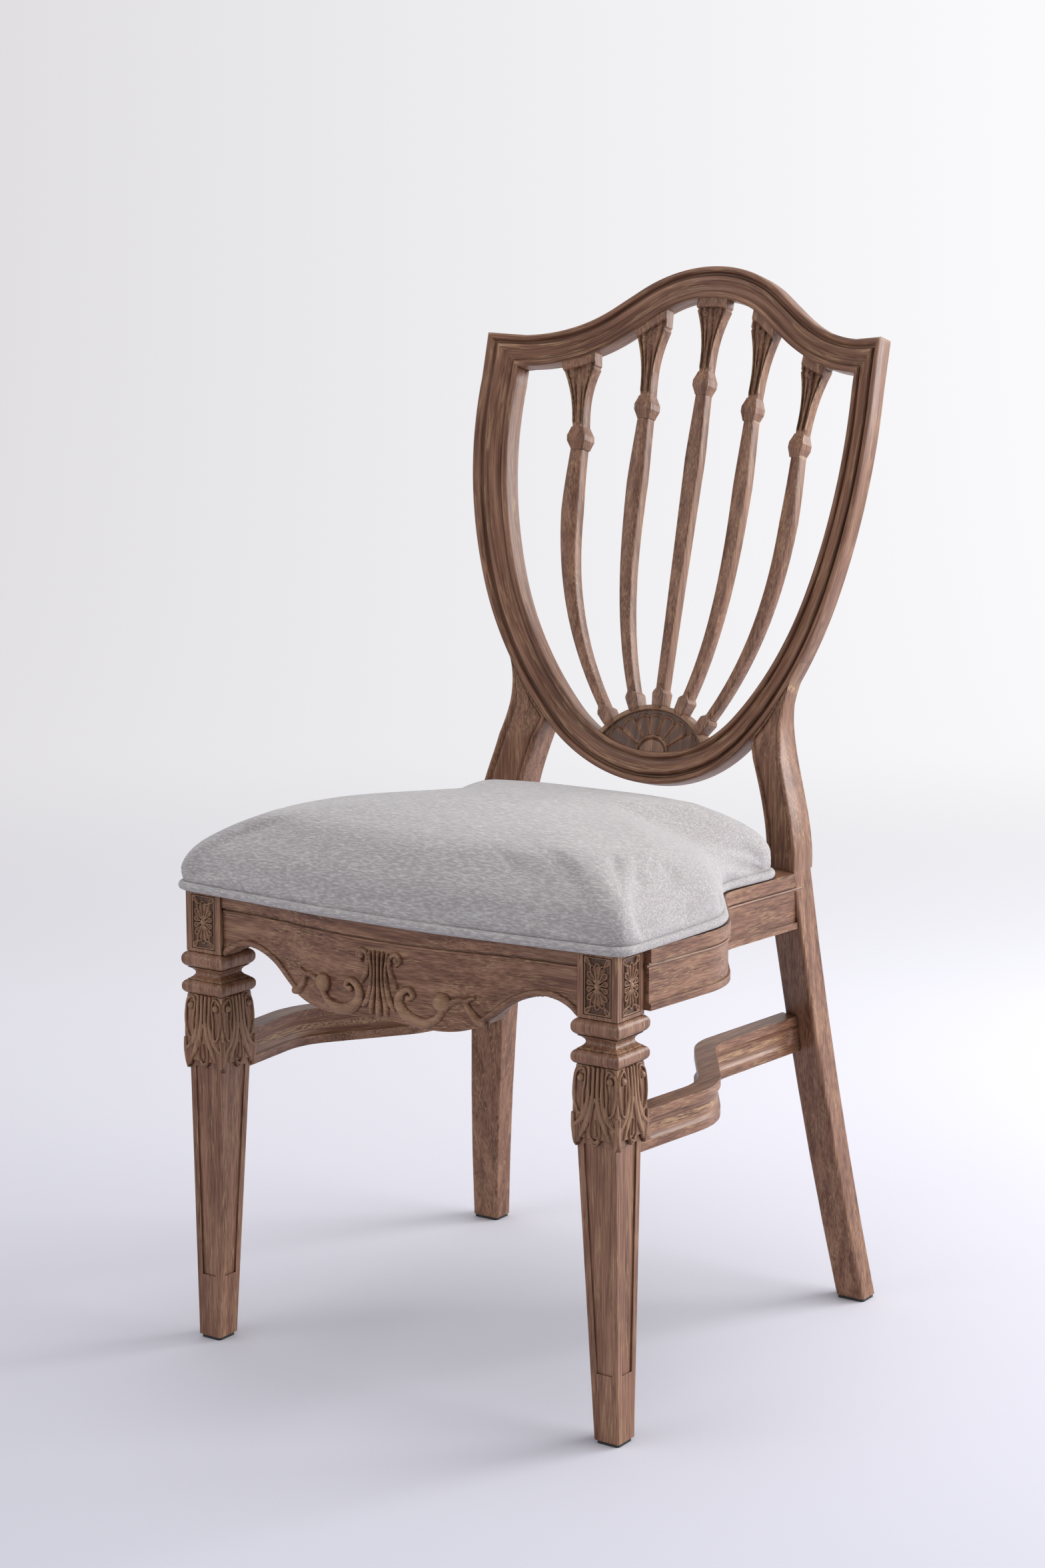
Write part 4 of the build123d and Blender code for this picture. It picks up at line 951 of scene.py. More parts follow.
    def knop_block(self) -> np.ndarray:
        """Size the faceted knop.

        Returns:
            Row-frame points of each ring.
        """
        level = np.array([-0.5, -0.45, -0.4, -0.12, 0.12, 0.4, 0.45, 0.5])
        size = np.array([0.1, 0.2, 0.3, 1.0, 1.0, 0.3, 0.2, 0.1])
        up = self.knop + level * self.knop_height
        half = self.neck_half + (self.knop_half - self.neck_half) * size
        swell = (self.knop_depth - self.depth) / 2 * size
        front = self.set_back - swell
        return self.stack(up, half, front, front + self.depth + 2 * swell, self.knop)

    def collar_block(self) -> np.ndarray:
        """Size the stepped collar with its pointed head.

        Returns:
            Row-frame points of each ring.
        """
        level = np.array([-0.22, 0.0, 0.74, 0.84, 1.04, 1.06, 1.5])
        size = np.array([0.72, 0.86, 1.0, 1.0, 0.72, 0.6, 0.06])
        up = self.foot + level * self.collar_height
        half = self.collar_half * size
        proud = (self.collar_depth - self.depth) / 2 * np.array([0.4, 0.9, 1, 1, 1, 1, 0.8])
        front = self.set_back - proud
        back = front + self.collar_depth * np.array([0.9, 1, 1, 1, 0.95, 0.25, 0.15])
        return self.stack(up, half, front, back, self.foot)


@dataclass(frozen=True)
class Upright:
    """Flared stile between a rear leg and the shield, beaded along both edges."""

    side: int
    shield: Shield = Shield()
    seat: float = 417 * MM
    waist: float = 458 * MM
    flare: float = 535 * MM
    top: float = 606 * MM
    # Edges across the chair at the seat and the waist, then from the bow's belly at the flare and the top
    low_outer: tuple[float, float] = (178 * MM, 174 * MM)
    high_outer: tuple[float, float] = (40.5 * MM, 52.7 * MM)
    low_inner: tuple[float, float] = (140 * MM, 137 * MM)
    high_inner: tuple[float, float] = (0.7 * MM, -18.3 * MM)
    set_back: float = 2 * MM
    thick: float = 21 * MM
    foot_depth: float = 33 * MM
    rows: int = 70

    def edges(self, z: np.ndarray) -> tuple[np.ndarray, np.ndarray]:
        """Draw both edges.

        Args:
            z: heights above the floor.

        Returns:
            Outer and inner edge across the chair.
        """
        belly = self.shield.belly_x
        heights = np.array([self.seat, self.waist, self.flare, self.top])
        outer = np.array([*self.low_outer, *(belly + out for out in self.high_outer)])
        inner = np.array([*self.low_inner, *(belly + out for out in self.high_inner)])
        cubic = [np.polynomial.Polynomial.fit(heights, edge, 3)(z) for edge in (outer, inner)]
        return cubic[0], cubic[1]

    def build(self, finishes: Finishes) -> None:
        """Model the upright up to the bow that it flares into.

        Args:
            finishes: the chair's finishes.
        """
        sheet = self.shield.sheet
        z = np.linspace(self.seat, self.top, self.rows)
        outer, inner = self.edges(z)
        rim, _ = self.shield.bow_half()
        rim_x = inner.copy()
        for _ in range(6):
            up = sheet.up_at(rim_x, z, self.set_back)
            rim_x = np.interp(up, rim[:, 1], rim[:, 0])
        inner = np.maximum(inner, rim_x - 1.5 * MM)
        outer = np.maximum(outer, inner + 0.8 * MM)
        edge = np.array([0, 0.5, 1.5, 2.9, 4.2, 5.0, 5.8, 6.8, 8.4, 11.0]) * MM
        fall = np.array([3.2, 1.3, 0.35, 0.0, 0.8, 2.4, 2.6, 1.7, 1.4, 1.5]) * MM
        width = outer - inner
        fit = np.minimum(width / (2.3 * edge[-1]), 1)
        open_end = smooth(z, self.seat + 8 * MM, self.seat + 22 * MM)
        sunk = fall[None, :] * np.where(np.arange(10) > 3, open_end[:, None], 1.0)
        inset = edge * fit[:, None]
        x = np.concatenate([outer[:, None] - inset, inner[:, None] + inset[:, ::-1]], axis=1)
        depth = np.concatenate([sunk, sunk[:, ::-1]], axis=1) * fit[:, None] + self.set_back
        front_y = self.face(x, z, depth)
        back_x = np.stack([inner, inner + 0.04 * width, outer - 0.04 * width, outer], axis=1)
        back_y = np.maximum(
            sheet.plumb_depth(back_x, self.set_back + self.foot_depth),
            self.leaning(back_x, z, self.set_back + self.thick),
        ) - np.array([1.5, 0, 0, 1.5]) * MM
        rows = np.concatenate([x, back_x], axis=1) * self.side
        deep = np.concatenate([front_y, back_y], axis=1)
        high = np.broadcast_to(z[:, None], rows.shape)
        points = np.stack([rows, deep, high], axis=-1).reshape(-1, 3)
        grain = np.stack([points[:, 2], points[:, 0], points[:, 1]], axis=1)
        name = "right" if self.side > 0 else "left"
        piece = mesh_object(f"beaded_upright_{name}", points, ring_faces(*rows.shape), grain, crease=50)
        dress(piece, finishes.wood[Grain.MESH], WOOD_SLOT, BODY, f"upright_{name}")

    def leaning(self, x: np.ndarray, z: np.ndarray, behind: Values) -> np.ndarray:
        """Find the leaning sheet at heights above the floor.

        Args:
            x: distances across.
            z: heights above the floor.
            behind: depth behind the sheet's face.

        Returns:
            Row-frame Y.
        """
        sheet = self.shield.sheet
        high = np.broadcast_to(z[:, None], x.shape)
        return sheet.place(x, sheet.up_at(x, high, behind), behind)[..., 1]

    def face(self, x: np.ndarray, z: np.ndarray, behind: np.ndarray) -> np.ndarray:
        """Row-frame Y of the front: plumb over the leg, then leaning with the shield."""
        return np.maximum(self.shield.sheet.plumb_depth(x, behind), self.leaning(x, z, behind))


@dataclass(frozen=True)
class Stroke:
    """A half-round raised line of a carving, tapered from end to end."""

    points: tuple[Pair, ...]
    widths: tuple[float, ...]
    height: float

    def raise_on(self, u: np.ndarray, v: np.ndarray) -> np.ndarray:
        """Raise the stroke on a grid.

        Args:
            u: places across.
            v: places up.

        Returns:
            Height at each place.
        """
        line = curve_through(np.array(self.points, dtype=float), 14)
        width = np.interp(np.linspace(0, 1, len(line)), np.linspace(0, 1, len(self.widths)), self.widths)
        rise = np.zeros_like(u)
        for (a, b), (wa, wb) in zip(zip(line, line[1:]), zip(width, width[1:])):
            leg = b - a
            share = np.clip(((u - a[0]) * leg[0] + (v - a[1]) * leg[1]) / max(leg @ leg, 1e-12), 0, 1)
            gap = np.hypot(u - a[0] - share * leg[0], v - a[1] - share * leg[1])
            reach = wa + (wb - wa) * share
            rise = np.maximum(rise, self.height * np.sqrt(np.clip(1 - (gap / reach) ** 2, 0, 1)))
        return rise


def curve_through(points: np.ndarray, steps: int) -> np.ndarray:
    """Draw a Catmull-Rom curve.

    Args:
        points: points on the curve.
        steps: steps between two points.

    Returns:
        Points along the curve.
    """
    if len(points) < 3:
        return points
    padded = np.vstack([2 * points[0] - points[1], points, 2 * points[-1] - points[-2]])
    t = np.linspace(0, 1, steps, endpoint=False)[:, None]
    spans = []
    for a, b, c, d in zip(padded, padded[1:], padded[2:], padded[3:]):
        bend, twist = 2 * a - 5 * b + 4 * c - d, 3 * b - a - 3 * c + d
        spans.append(0.5 * (2 * b + (c - a) * t + bend * t**2 + twist * t**3))
    return np.vstack([*spans, points[-1:]])


@dataclass(frozen=True)
class Carving:
    """Strokes and beads laid on a carrier surface as one or more closed raised pieces."""

    strokes: tuple[Stroke, ...]
    beads: tuple[tuple[float, float, float, float], ...]
    pitch: float = 0.55 * MM
    ground: float = 0.0
    # How dark the sunk ground is drawn, as glaze and painted shade
    sunk_glaze_and_shade: float = 0.7
    buried: float = 0.5 * MM
    root: float = 1.4 * MM

    def heights(self, u: np.ndarray, v: np.ndarray) -> np.ndarray:
        """Raise the whole carving on a grid.

        Args:
            u: places across.
            v: places up.

        Returns:
            Height at each place.
        """
        rise = np.full_like(u, self.ground)
        for stroke in self.strokes:
            rise = np.maximum(rise, stroke.raise_on(u, v))
        for bu, bv, radius, height in self.beads:
            gap = np.hypot(u - bu, v - bv)
            rise = np.maximum(rise, height * np.sqrt(np.clip(1 - (gap / radius) ** 2, 0, 1)))
        return rise

    def build(self, name: str, low: Pair, high: Pair, carrier: Carrier, grain_axis: int) -> bpy.types.Object:
        """Model the carving.

        Args:
            name: piece name.
            low: lowest corner of the patch on the carrier.
            high: highest corner.
            carrier: function from places and heights on the patch to row-frame points.
            grain_axis: row-frame axis that the wood figure follows.

        Returns:
            The raised piece.
        """
        nu = int((high[0] - low[0]) / self.pitch) + 2
        nv = int((high[1] - low[1]) / self.pitch) + 2
        spans = np.linspace(low[0], high[0], nu), np.linspace(low[1], high[1], nv)
        u, v = np.meshgrid(*spans, indexing="ij")
        rise = self.heights(u, v)
        kept = (rise[:-1, :-1] > 0) | (rise[1:, :-1] > 0) | (rise[:-1, 1:] > 0) | (rise[1:, 1:] > 0)
        kept[[0, -1], :] = False
        kept[:, [0, -1]] = False
        for _ in range(4):
            bridge = kept[:-1, :-1] & kept[1:, 1:] & ~kept[1:, :-1] & ~kept[:-1, 1:]
            kept[1:, :-1] |= bridge
            bridge = kept[1:, :-1] & kept[:-1, 1:] & ~kept[:-1, :-1] & ~kept[1:, 1:]
            kept[:-1, :-1] |= bridge
        top = carrier(u, v, np.where(rise > 0, rise, -self.buried)).reshape(-1, 3)
        bottom = carrier(u, v, np.full_like(u, -self.root)).reshape(-1, 3)
        faces, count = slab_faces(kept), nu * nv
        points = np.vstack([top, bottom])
        used = np.unique(np.concatenate([np.array(face) for face in faces]))
        remap = np.full(2 * count, -1)
        remap[used] = np.arange(len(used))
        points = points[used]
        faces = [tuple(int(remap[k]) for k in face) for face in faces]
        order = [grain_axis] + [axis for axis in range(3) if axis != grain_axis]
        level = np.concatenate([rise.ravel() / rise.max() * 1.6, np.zeros(count)])[used].clip(0, 1)
        # Sunk ground darkened toward each ridge's base, as glaze and painted shade
        low_ground = np.concatenate([1 - smooth(rise.ravel(), 0.15 * MM, 0.9 * MM), np.ones(count)])
        deep = self.sunk_glaze_and_shade * low_ground[used]
        return mesh_object(name, points, faces, points[:, order], 70, {"raised": level, "sunk": deep})


def stroke(line: tuple[Pair, ...], widths: tuple[float, ...], height: float) -> Stroke:
    """Stroke from sizes in millimetres."""
    return Stroke(tuple((u * MM, v * MM) for u, v in line), tuple(w * MM for w in widths), height * MM)


def both_sides(line: tuple[Pair, ...], widths: tuple[float, ...], height: float) -> list[Stroke]:
    """A stroke and its reflection about the middle."""
    return [stroke(line, widths, height), stroke(tuple((-u, v) for u, v in line), widths, height)]


def petal(root: Pair, tip: Pair, half: float, edge: float, height: float) -> list[Stroke]:
    """Draw a petal in millimetres: a raised outline round a low filling.

    Args:
        root: where it springs from.
        tip: its far end.
        half: half width.
        edge: half width of the outline.
        height: height of the outline.

    Returns:
        The outline and the filling.
    """
    root, tip = np.array(root, dtype=float), np.array(tip, dtype=float)
    along = tip - root
    aside = np.array([-along[1], along[0]]) / np.hypot(*along) * half
    flank = ((0, 0), (0.4, 0.6), (0.75, 1), (0.95, 0.6))
    shape = (*flank, (1, 0), *((a, -b) for a, b in reversed(flank)))
    outline = tuple(tuple(root + a * along + b * aside) for a, b in shape)
    filling = (tuple(root + 0.2 * along), tuple(root + 0.75 * along))
    return [stroke(outline, (edge,), height), stroke(filling, (0.3 * half, 0.85 * half), 0.45 * height)]


@dataclass(frozen=True)
class Apron:
    """Carving on the bowed front apron: edge beads, C-scrolls, palmette and balls."""

    block_inner: float = 188.9 * MM
    set_back: float = 4 * MM
    bow: float = 20 * MM
    turn_x: float = 95 * MM

    def face(self, x: Values) -> np.ndarray:
        """Find the apron's bowed face.

        Args:
            x: distances across the chair.

        Returns:
            Row-frame Y.
        """
        hollow, tangents = tangent_arc(
            (self.block_inner, self.set_back), (-1, 0), (self.turn_x, self.set_back - self.bow / 2), 40
        )
        full, _ = tangent_arc(hollow[-1], tangents[-1], (0, self.set_back - self.bow), 40)
        line = np.vstack([hollow, full[1:]])[::-1]
        return DATUM_Y + np.interp(np.abs(x), line[:, 0], line[:, 1])

    def carrier(self, u: np.ndarray, v: np.ndarray, rise: np.ndarray) -> np.ndarray:
        """Places across and up, raised forward of the face."""
        return np.stack([u, self.face(u) - rise, v], axis=-1)

    def motifs(self) -> Carving:
        """Draw the whole ornament in millimetres, on the right and reflected.

        Returns:
            The carving.
        """
        arch = ((98, 346), (108, 353.5), (124, 366), (140, 373.5), (155, 376.5), (168, 375), (180, 370),
                (187.6, 364))
        nib = ((85, 360), (89, 353), (95, 346.5), (100, 344.5))
        bar = ((69, 357), (77, 361.5), (85, 362), (92, 365))
        scroll = ((31, 357), (35.5, 360.5), (31, 365.5), (23, 361), (21, 352), (29, 342.5), (44, 338.5),
                  (57, 343), (64, 352))
        volute = ((18.5, 384), (22.8, 388.5), (18.5, 393.4), (12.5, 390), (11.5, 381), (14, 373), (18, 366))
        flute = ((9.5, 392), (7.5, 378), (8.5, 364), (12, 352), (16, 346))
        rib = ((4.6, 393), (3.8, 376), (4.8, 361), (7.5, 349), (8, 341))
        strokes = [
            stroke(((-187.5, 401.6), (187.5, 401.6)), (1.5,), 1.7),
            *both_sides(arch, (2.6, 3.0, 3.0, 2.6), 2.6),
            *both_sides(nib, (2.2, 3.2, 4.0, 3.4), 4.2),
            *both_sides(bar, (3.4, 2.6, 2.4, 1.8), 3.0),
            *both_sides(scroll, (2.0, 2.4, 3.0, 3.8, 5.0, 5.6, 4.8, 3.8, 3.0), 4.2),
            *both_sides(volute, (1.8, 2.0, 2.2, 2.2, 2.4, 3.0, 2.2), 3.2),
            *both_sides(flute, (1.4, 1.8, 2.2, 3.2, 2.2), 3.2),
            *both_sides(rib, (1.3, 1.5, 1.9, 2.9, 2.4), 3.4),
            stroke(((0, 393), (0, 376), (0, 360), (0, 348), (0, 340)), (1.3, 1.5, 1.9, 3.2, 2.8), 3.8),
        ]
        beads = []
        for side in (-MM, MM):
            beads += [
                (side * 63, 358 * MM, 8.6 * MM, 7 * MM),
                (side * 18.5, 388.6 * MM, 3.4 * MM, 4 * MM),
                (side * 31, 358 * MM, 3.4 * MM, 4 * MM),
            ]
        return Carving(tuple(strokes), tuple(beads))

    def build(self, finishes: Finishes) -> None:
        """Lay the carving on the apron.

        Args:
            finishes: the chair's finishes.
        """
        low, high = (-188 * MM, 328 * MM), (188 * MM, 404 * MM)
        carving = self.motifs().build("apron_carving", low, high, self.carrier, 0)
        dress(carving, finishes.carved, WOOD_SLOT, BODY)


@dataclass(frozen=True)
class FrontLeg:
    """Carving on a front leg: rosettes on the block and a leaf collar under the rings."""

    side: int
    block: float = 39.5 * MM
    outer_x: float = 228.4 * MM
    block_z: float = 362 * MM
    block_height: float = 55 * MM
    panel_depth: float = 1.5 * MM
    leaf_low: float = 263 * MM
    leaf_high: float = 323 * MM
    leaf_proud: float = 2.2 * MM

    @property
    def centre(self) -> tuple[float, float]:
        """Row-frame middle of the block in plan."""
        return self.side * (self.outer_x - self.block / 2), DATUM_Y + self.block / 2

    def turned(self, face: int, u: np.ndarray, out: np.ndarray, z: np.ndarray) -> np.ndarray:
        """Find places on one of the four faces.

        Args:
            face: the face, numbered round from the front.
            u: distances across it.
            out: distances out from the leg's middle.
            z: heights above the floor.

        Returns:
            Row-frame points.
        """
        angle = face * math.pi / 2
        x = u * math.cos(angle) + out * math.sin(angle)
        y = u * math.sin(angle) - out * math.cos(angle)
        return np.stack([self.centre[0] + x, self.centre[1] + y, z], axis=-1)

    def rosette(self) -> Carving:
        """Draw two fans of petals about a bead, with side lobes, corner leaves and a thin frame.

        Returns:
            The carving.
        """
        strokes = []
        for way in (-1, 1):
            for x, y, half in ((-8.8, 11, 2), (-5.4, 17, 2.3), (0, 19, 2.5), (5.4, 17, 2.3), (8.8, 11, 2)):
                strokes += petal((x * 0.2, way * 3), (x, way * y), half, 0.75, 2.2)
            for side in (-1, 1):
                strokes += petal((side * 3.4, way), (side * 9.6, way * 3.6), 1.9, 0.75, 2.1)
                strokes += petal((side * 6.5, way * 17), (side * 11.2, way * 22), 1.7, 0.75, 2.1)
        corners = ((-12.4, -23.4), (12.4, -23.4), (12.4, 23.4), (-12.4, 23.4))
        strokes += [stroke((corners[k - 1], corners[k]), (0.8,), 1.9) for k in range(4)]
        bead = (0.0, 0.0, 3.4 * MM, 3.6 * MM)
        return Carving(tuple(strokes), (bead,), pitch=0.35 * MM, ground=0.1 * MM, sunk_glaze_and_shade=0.9)

    def leaf(self) -> Carving:
        """Draw the leaf collar of one face: beaded volutes, flutes, corner leaves, hanging tongue.

        Returns:
            The carving.
        """
        drop = ((15, 58), (19.6, 54), (20.6, 44), (19.6, 32), (16.5, 22.5), (13, 21), (11.6, 28), (11.9, 37),
                (10.6, 46), (10.6, 53), (12.6, 57.3), (15, 58))
        flute = ((7.4, 59), (7.0, 47), (6.6, 37), (8.6, 26), (13, 16.5), (19.5, 10))
        rib = ((2.3, 59), (2.1, 46), (2.4, 36), (4.4, 24), (9, 12), (14, 2))
        corner = ((20.8, 19), (21.2, 9), (20.6, -1), (19.2, -7))
        fill = ((14, 17), (17, 7), (18, -3))
        flank = ((0, 34), (2.8, 22), (4.8, 10), (4.4, 1))
        tongue = (*flank, (0, -5), *((-u, v) for u, v in reversed(flank)))
        strokes = [
            *both_sides(drop, (1.3,), 2.2),
            *both_sides(flute, (1.6, 1.8, 2.0, 2.6, 2.9, 1.6), 2.3),
            *both_sides(rib, (1.7, 1.9, 2.1, 2.6, 3.0, 1.5), 2.5),
            *both_sides(corner, (1.4, 2.2, 2.0, 0.8), 2.2),
            *both_sides(fill, (3.4, 4.0, 2.0), 1.1),
            stroke(tongue, (0.9,), 1.7),
            stroke(((-3, 0), (0, -2.6), (3, 0)), (1.0, 1.3, 1.0), 2.3),
            stroke(((0, 16), (0, 8), (0, 4)), (0.6, 1.5, 2.2), 2.0),
        ]
        beads = tuple((side * 15 * MM, 50 * MM, 3.5 * MM, 4.0 * MM) for side in (-1, 1))
        return Carving(tuple(strokes), beads, pitch=0.45 * MM, sunk_glaze_and_shade=0.4)

    def bell(self, v: np.ndarray) -> np.ndarray:
        """Size the leaf bell.

        Args:
            v: heights above its lower end.

        Returns:
            Half width.
        """
        share = np.clip(v / (self.leaf_high - self.leaf_low), 0, 1)
        stops = self.block / 2 + self.leaf_proud * np.array([0.7, 1, 0])
        return np.polynomial.Polynomial.fit([0, 0.35, 1], stops, 2)(share)

    def build(self, finishes: Finishes) -> None:
        """Lay the carvings on the leg.

        Args:
            finishes: the chair's finishes.
        """
        name = "right" if self.side > 0 else "left"
        reach = (13.6 * MM, 24.6 * MM)
        for face in (0, self.side % 4):
            panel = partial(self.on_panel, face)
            piece = self.rosette().build(f"rosette_{name}_{face}", (-reach[0], -reach[1]), reach, panel, 2)
            dress(piece, finishes.carved, WOOD_SLOT, BODY)
        low, high = (-25 * MM, -9 * MM), (25 * MM, 61 * MM)
        for face in range(4):
            piece = self.leaf().build(f"leaf_{name}_{face}", low, high, partial(self.on_bell, face), 2)
            dress(piece, finishes.carved, WOOD_SLOT, BODY)

    def on_panel(self, face: int, u: np.ndarray, v: np.ndarray, rise: np.ndarray) -> np.ndarray:
        """Places on a sunk panel of the block, raised out of it."""
        out = self.block / 2 - self.panel_depth + rise
        return self.turned(face, u, out, self.block_z + self.block_height / 2 + v)

    def on_bell(self, face: int, u: np.ndarray, v: np.ndarray, rise: np.ndarray) -> np.ndarray:
        """Places on the leaf bell, raised out of it and spread with its width."""
        spread = u * self.bell(v) / self.bell(np.array(30 * MM))
        return self.turned(face, spread, self.bell(v) + rise - 0.2 * MM, self.leaf_low + v)


@dataclass(frozen=True)
class SideMouldings:
    """Bead under the cap of a side rail and hollow flutes of the stretcher below it."""

    side: int
    # The rail's middle line in plan, across and depth, with the rounding of its two corners
    front_x: float = 219 * MM
    swell: tuple[float, float, float] = (230 * MM, 148 * MM, 75 * MM)
    waist: tuple[float, float, float] = (158 * MM, 254 * MM, 60 * MM)
    rear: tuple[float, float] = (170.5 * MM, 430 * MM)
    rail_thick: float = 24 * MM
    rail_start: float = 38.5 * MM
    bead: float = 1.7 * MM
    bead_z: float = 401.6 * MM
    stretcher_in: float = 3 * MM
    stretcher_start: float = 33.5 * MM
    stretcher_thick: float = 19 * MM
    flute_z: float = 262 * MM
    flute_half: float = 9 * MM
    flute_depth: float = 2.5 * MM
    flute_start: float = 49 * MM
    flute_stop: float = 16 * MM
    step: float = 1.5 * MM

    def path(self, set_in: float, start: float, stop: float) -> tuple[np.ndarray, np.ndarray]:
        """Draw a rail's middle line in plan.

        Args:
            set_in: how far the line lies inside the seat rail's.
            start: depth where it leaves the front leg.
            stop: depth where it reaches the rear leg.

        Returns:
            Even points and their outward unit vectors.
        """
        corners = [np.array(c[:2]) - (set_in, 0) for c in (self.swell, self.waist)]
        first, last = np.array([self.front_x - set_in, start]), np.array(self.rear) - (set_in, 0)
        swell = corner_arc(first, corners[0], corners[1], self.swell[2], 24)
        waist = corner_arc(corners[0], corners[1], last, self.waist[2], 24)
        rough = np.vstack([first, swell, waist, last])
        length = np.concatenate([[0], np.cumsum(np.hypot(*np.diff(rough, axis=0).T))])
        even = np.linspace(0, length[-1], int(length[-1] / self.step))
        points = np.column_stack([np.interp(even, length, rough[:, k]) for k in (0, 1)])
        points = points[points[:, 1] < stop]
        ahead = np.gradient(points, axis=0)
        ahead /= np.hypot(*ahead.T)[:, None]
        return points, np.stack([ahead[:, 1], -ahead[:, 0]], axis=1)

    def sweep(self, name: str, line: tuple[np.ndarray, np.ndarray], out: np.ndarray, z: np.ndarray,
              finishes: Finishes) -> None:
        """Model a strip along a middle line.

        Args:
            name: piece name.
            line: middle line and its outward unit vectors.
            out: distance from the middle line, for each place along and each point round the section.
            z: height of each point round the section.
            finishes: the chair's finishes.
        """
        points, ways = line
        plan = points[:, None, :] + out[..., None] * ways[:, None, :]
        high = np.broadcast_to(z, out.shape)
        placed = np.stack([self.side * plan[..., 0], plan[..., 1] + DATUM_Y, high], axis=-1)
        run = np.arange(len(points))[:, None] * self.step
        grain = np.stack(np.broadcast_arrays(run, high, out), axis=-1).reshape(-1, 3)
        piece = mesh_object(name, placed.reshape(-1, 3), ring_faces(*out.shape), grain, crease=55)
        dress(piece, finishes.carved, WOOD_SLOT, BODY)

    def build(self, finishes: Finishes) -> None:
        """Model the rail's bead and the flutes on both faces of the stretcher.

        Args:
            finishes: the chair's finishes.
        """
        word = "right" if self.side > 0 else "left"
        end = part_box(f"side_rail_{word}")[1][1] - DATUM_Y
        line = self.path(0.0, self.rail_start, end)
        turn = np.linspace(-math.pi / 2, math.pi / 2, 9)
        out = np.concatenate([[-1 * MM], self.bead * np.cos(turn), [-1 * MM]]) + self.rail_thick / 2
        z = self.bead_z + self.bead * np.concatenate([[-1], np.sin(turn), [1]])
        count = len(line[0])
        self.sweep(f"rail_bead_{word}", line, np.broadcast_to(out, (count, len(out))), z, finishes)
        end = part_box(f"side_stretcher_{word}")[1][1] - DATUM_Y
        line = self.path(self.stretcher_in, self.stretcher_start, end)
        y = line[0][:, 1]
        level = np.linspace(-1, 1, 19) * (self.flute_half + 0.3 * MM)
        ends = np.maximum(self.flute_start + self.flute_half - y, y - end + self.flute_stop + self.flute_half)
        gap = np.hypot(np.maximum(ends, 0)[:, None], level[None, :]) / self.flute_half
        hollow = self.flute_depth * 1.06 * np.clip(1 - gap**2, 0, 1) ** 0.75
        face = self.stretcher_thick / 2
        root = np.full((len(y), 2), face - self.flute_depth - 0.6 * MM)
        out = np.concatenate([face - 0.05 * MM - hollow, root], axis=1)
        z = self.flute_z + np.concatenate([level, level[[-1, 0]]])
        for way, which in ((1, "outer"), (-1, "inner")):
            self.sweep(f"flute_{which}_{word}", line, way * out, z, finishes)


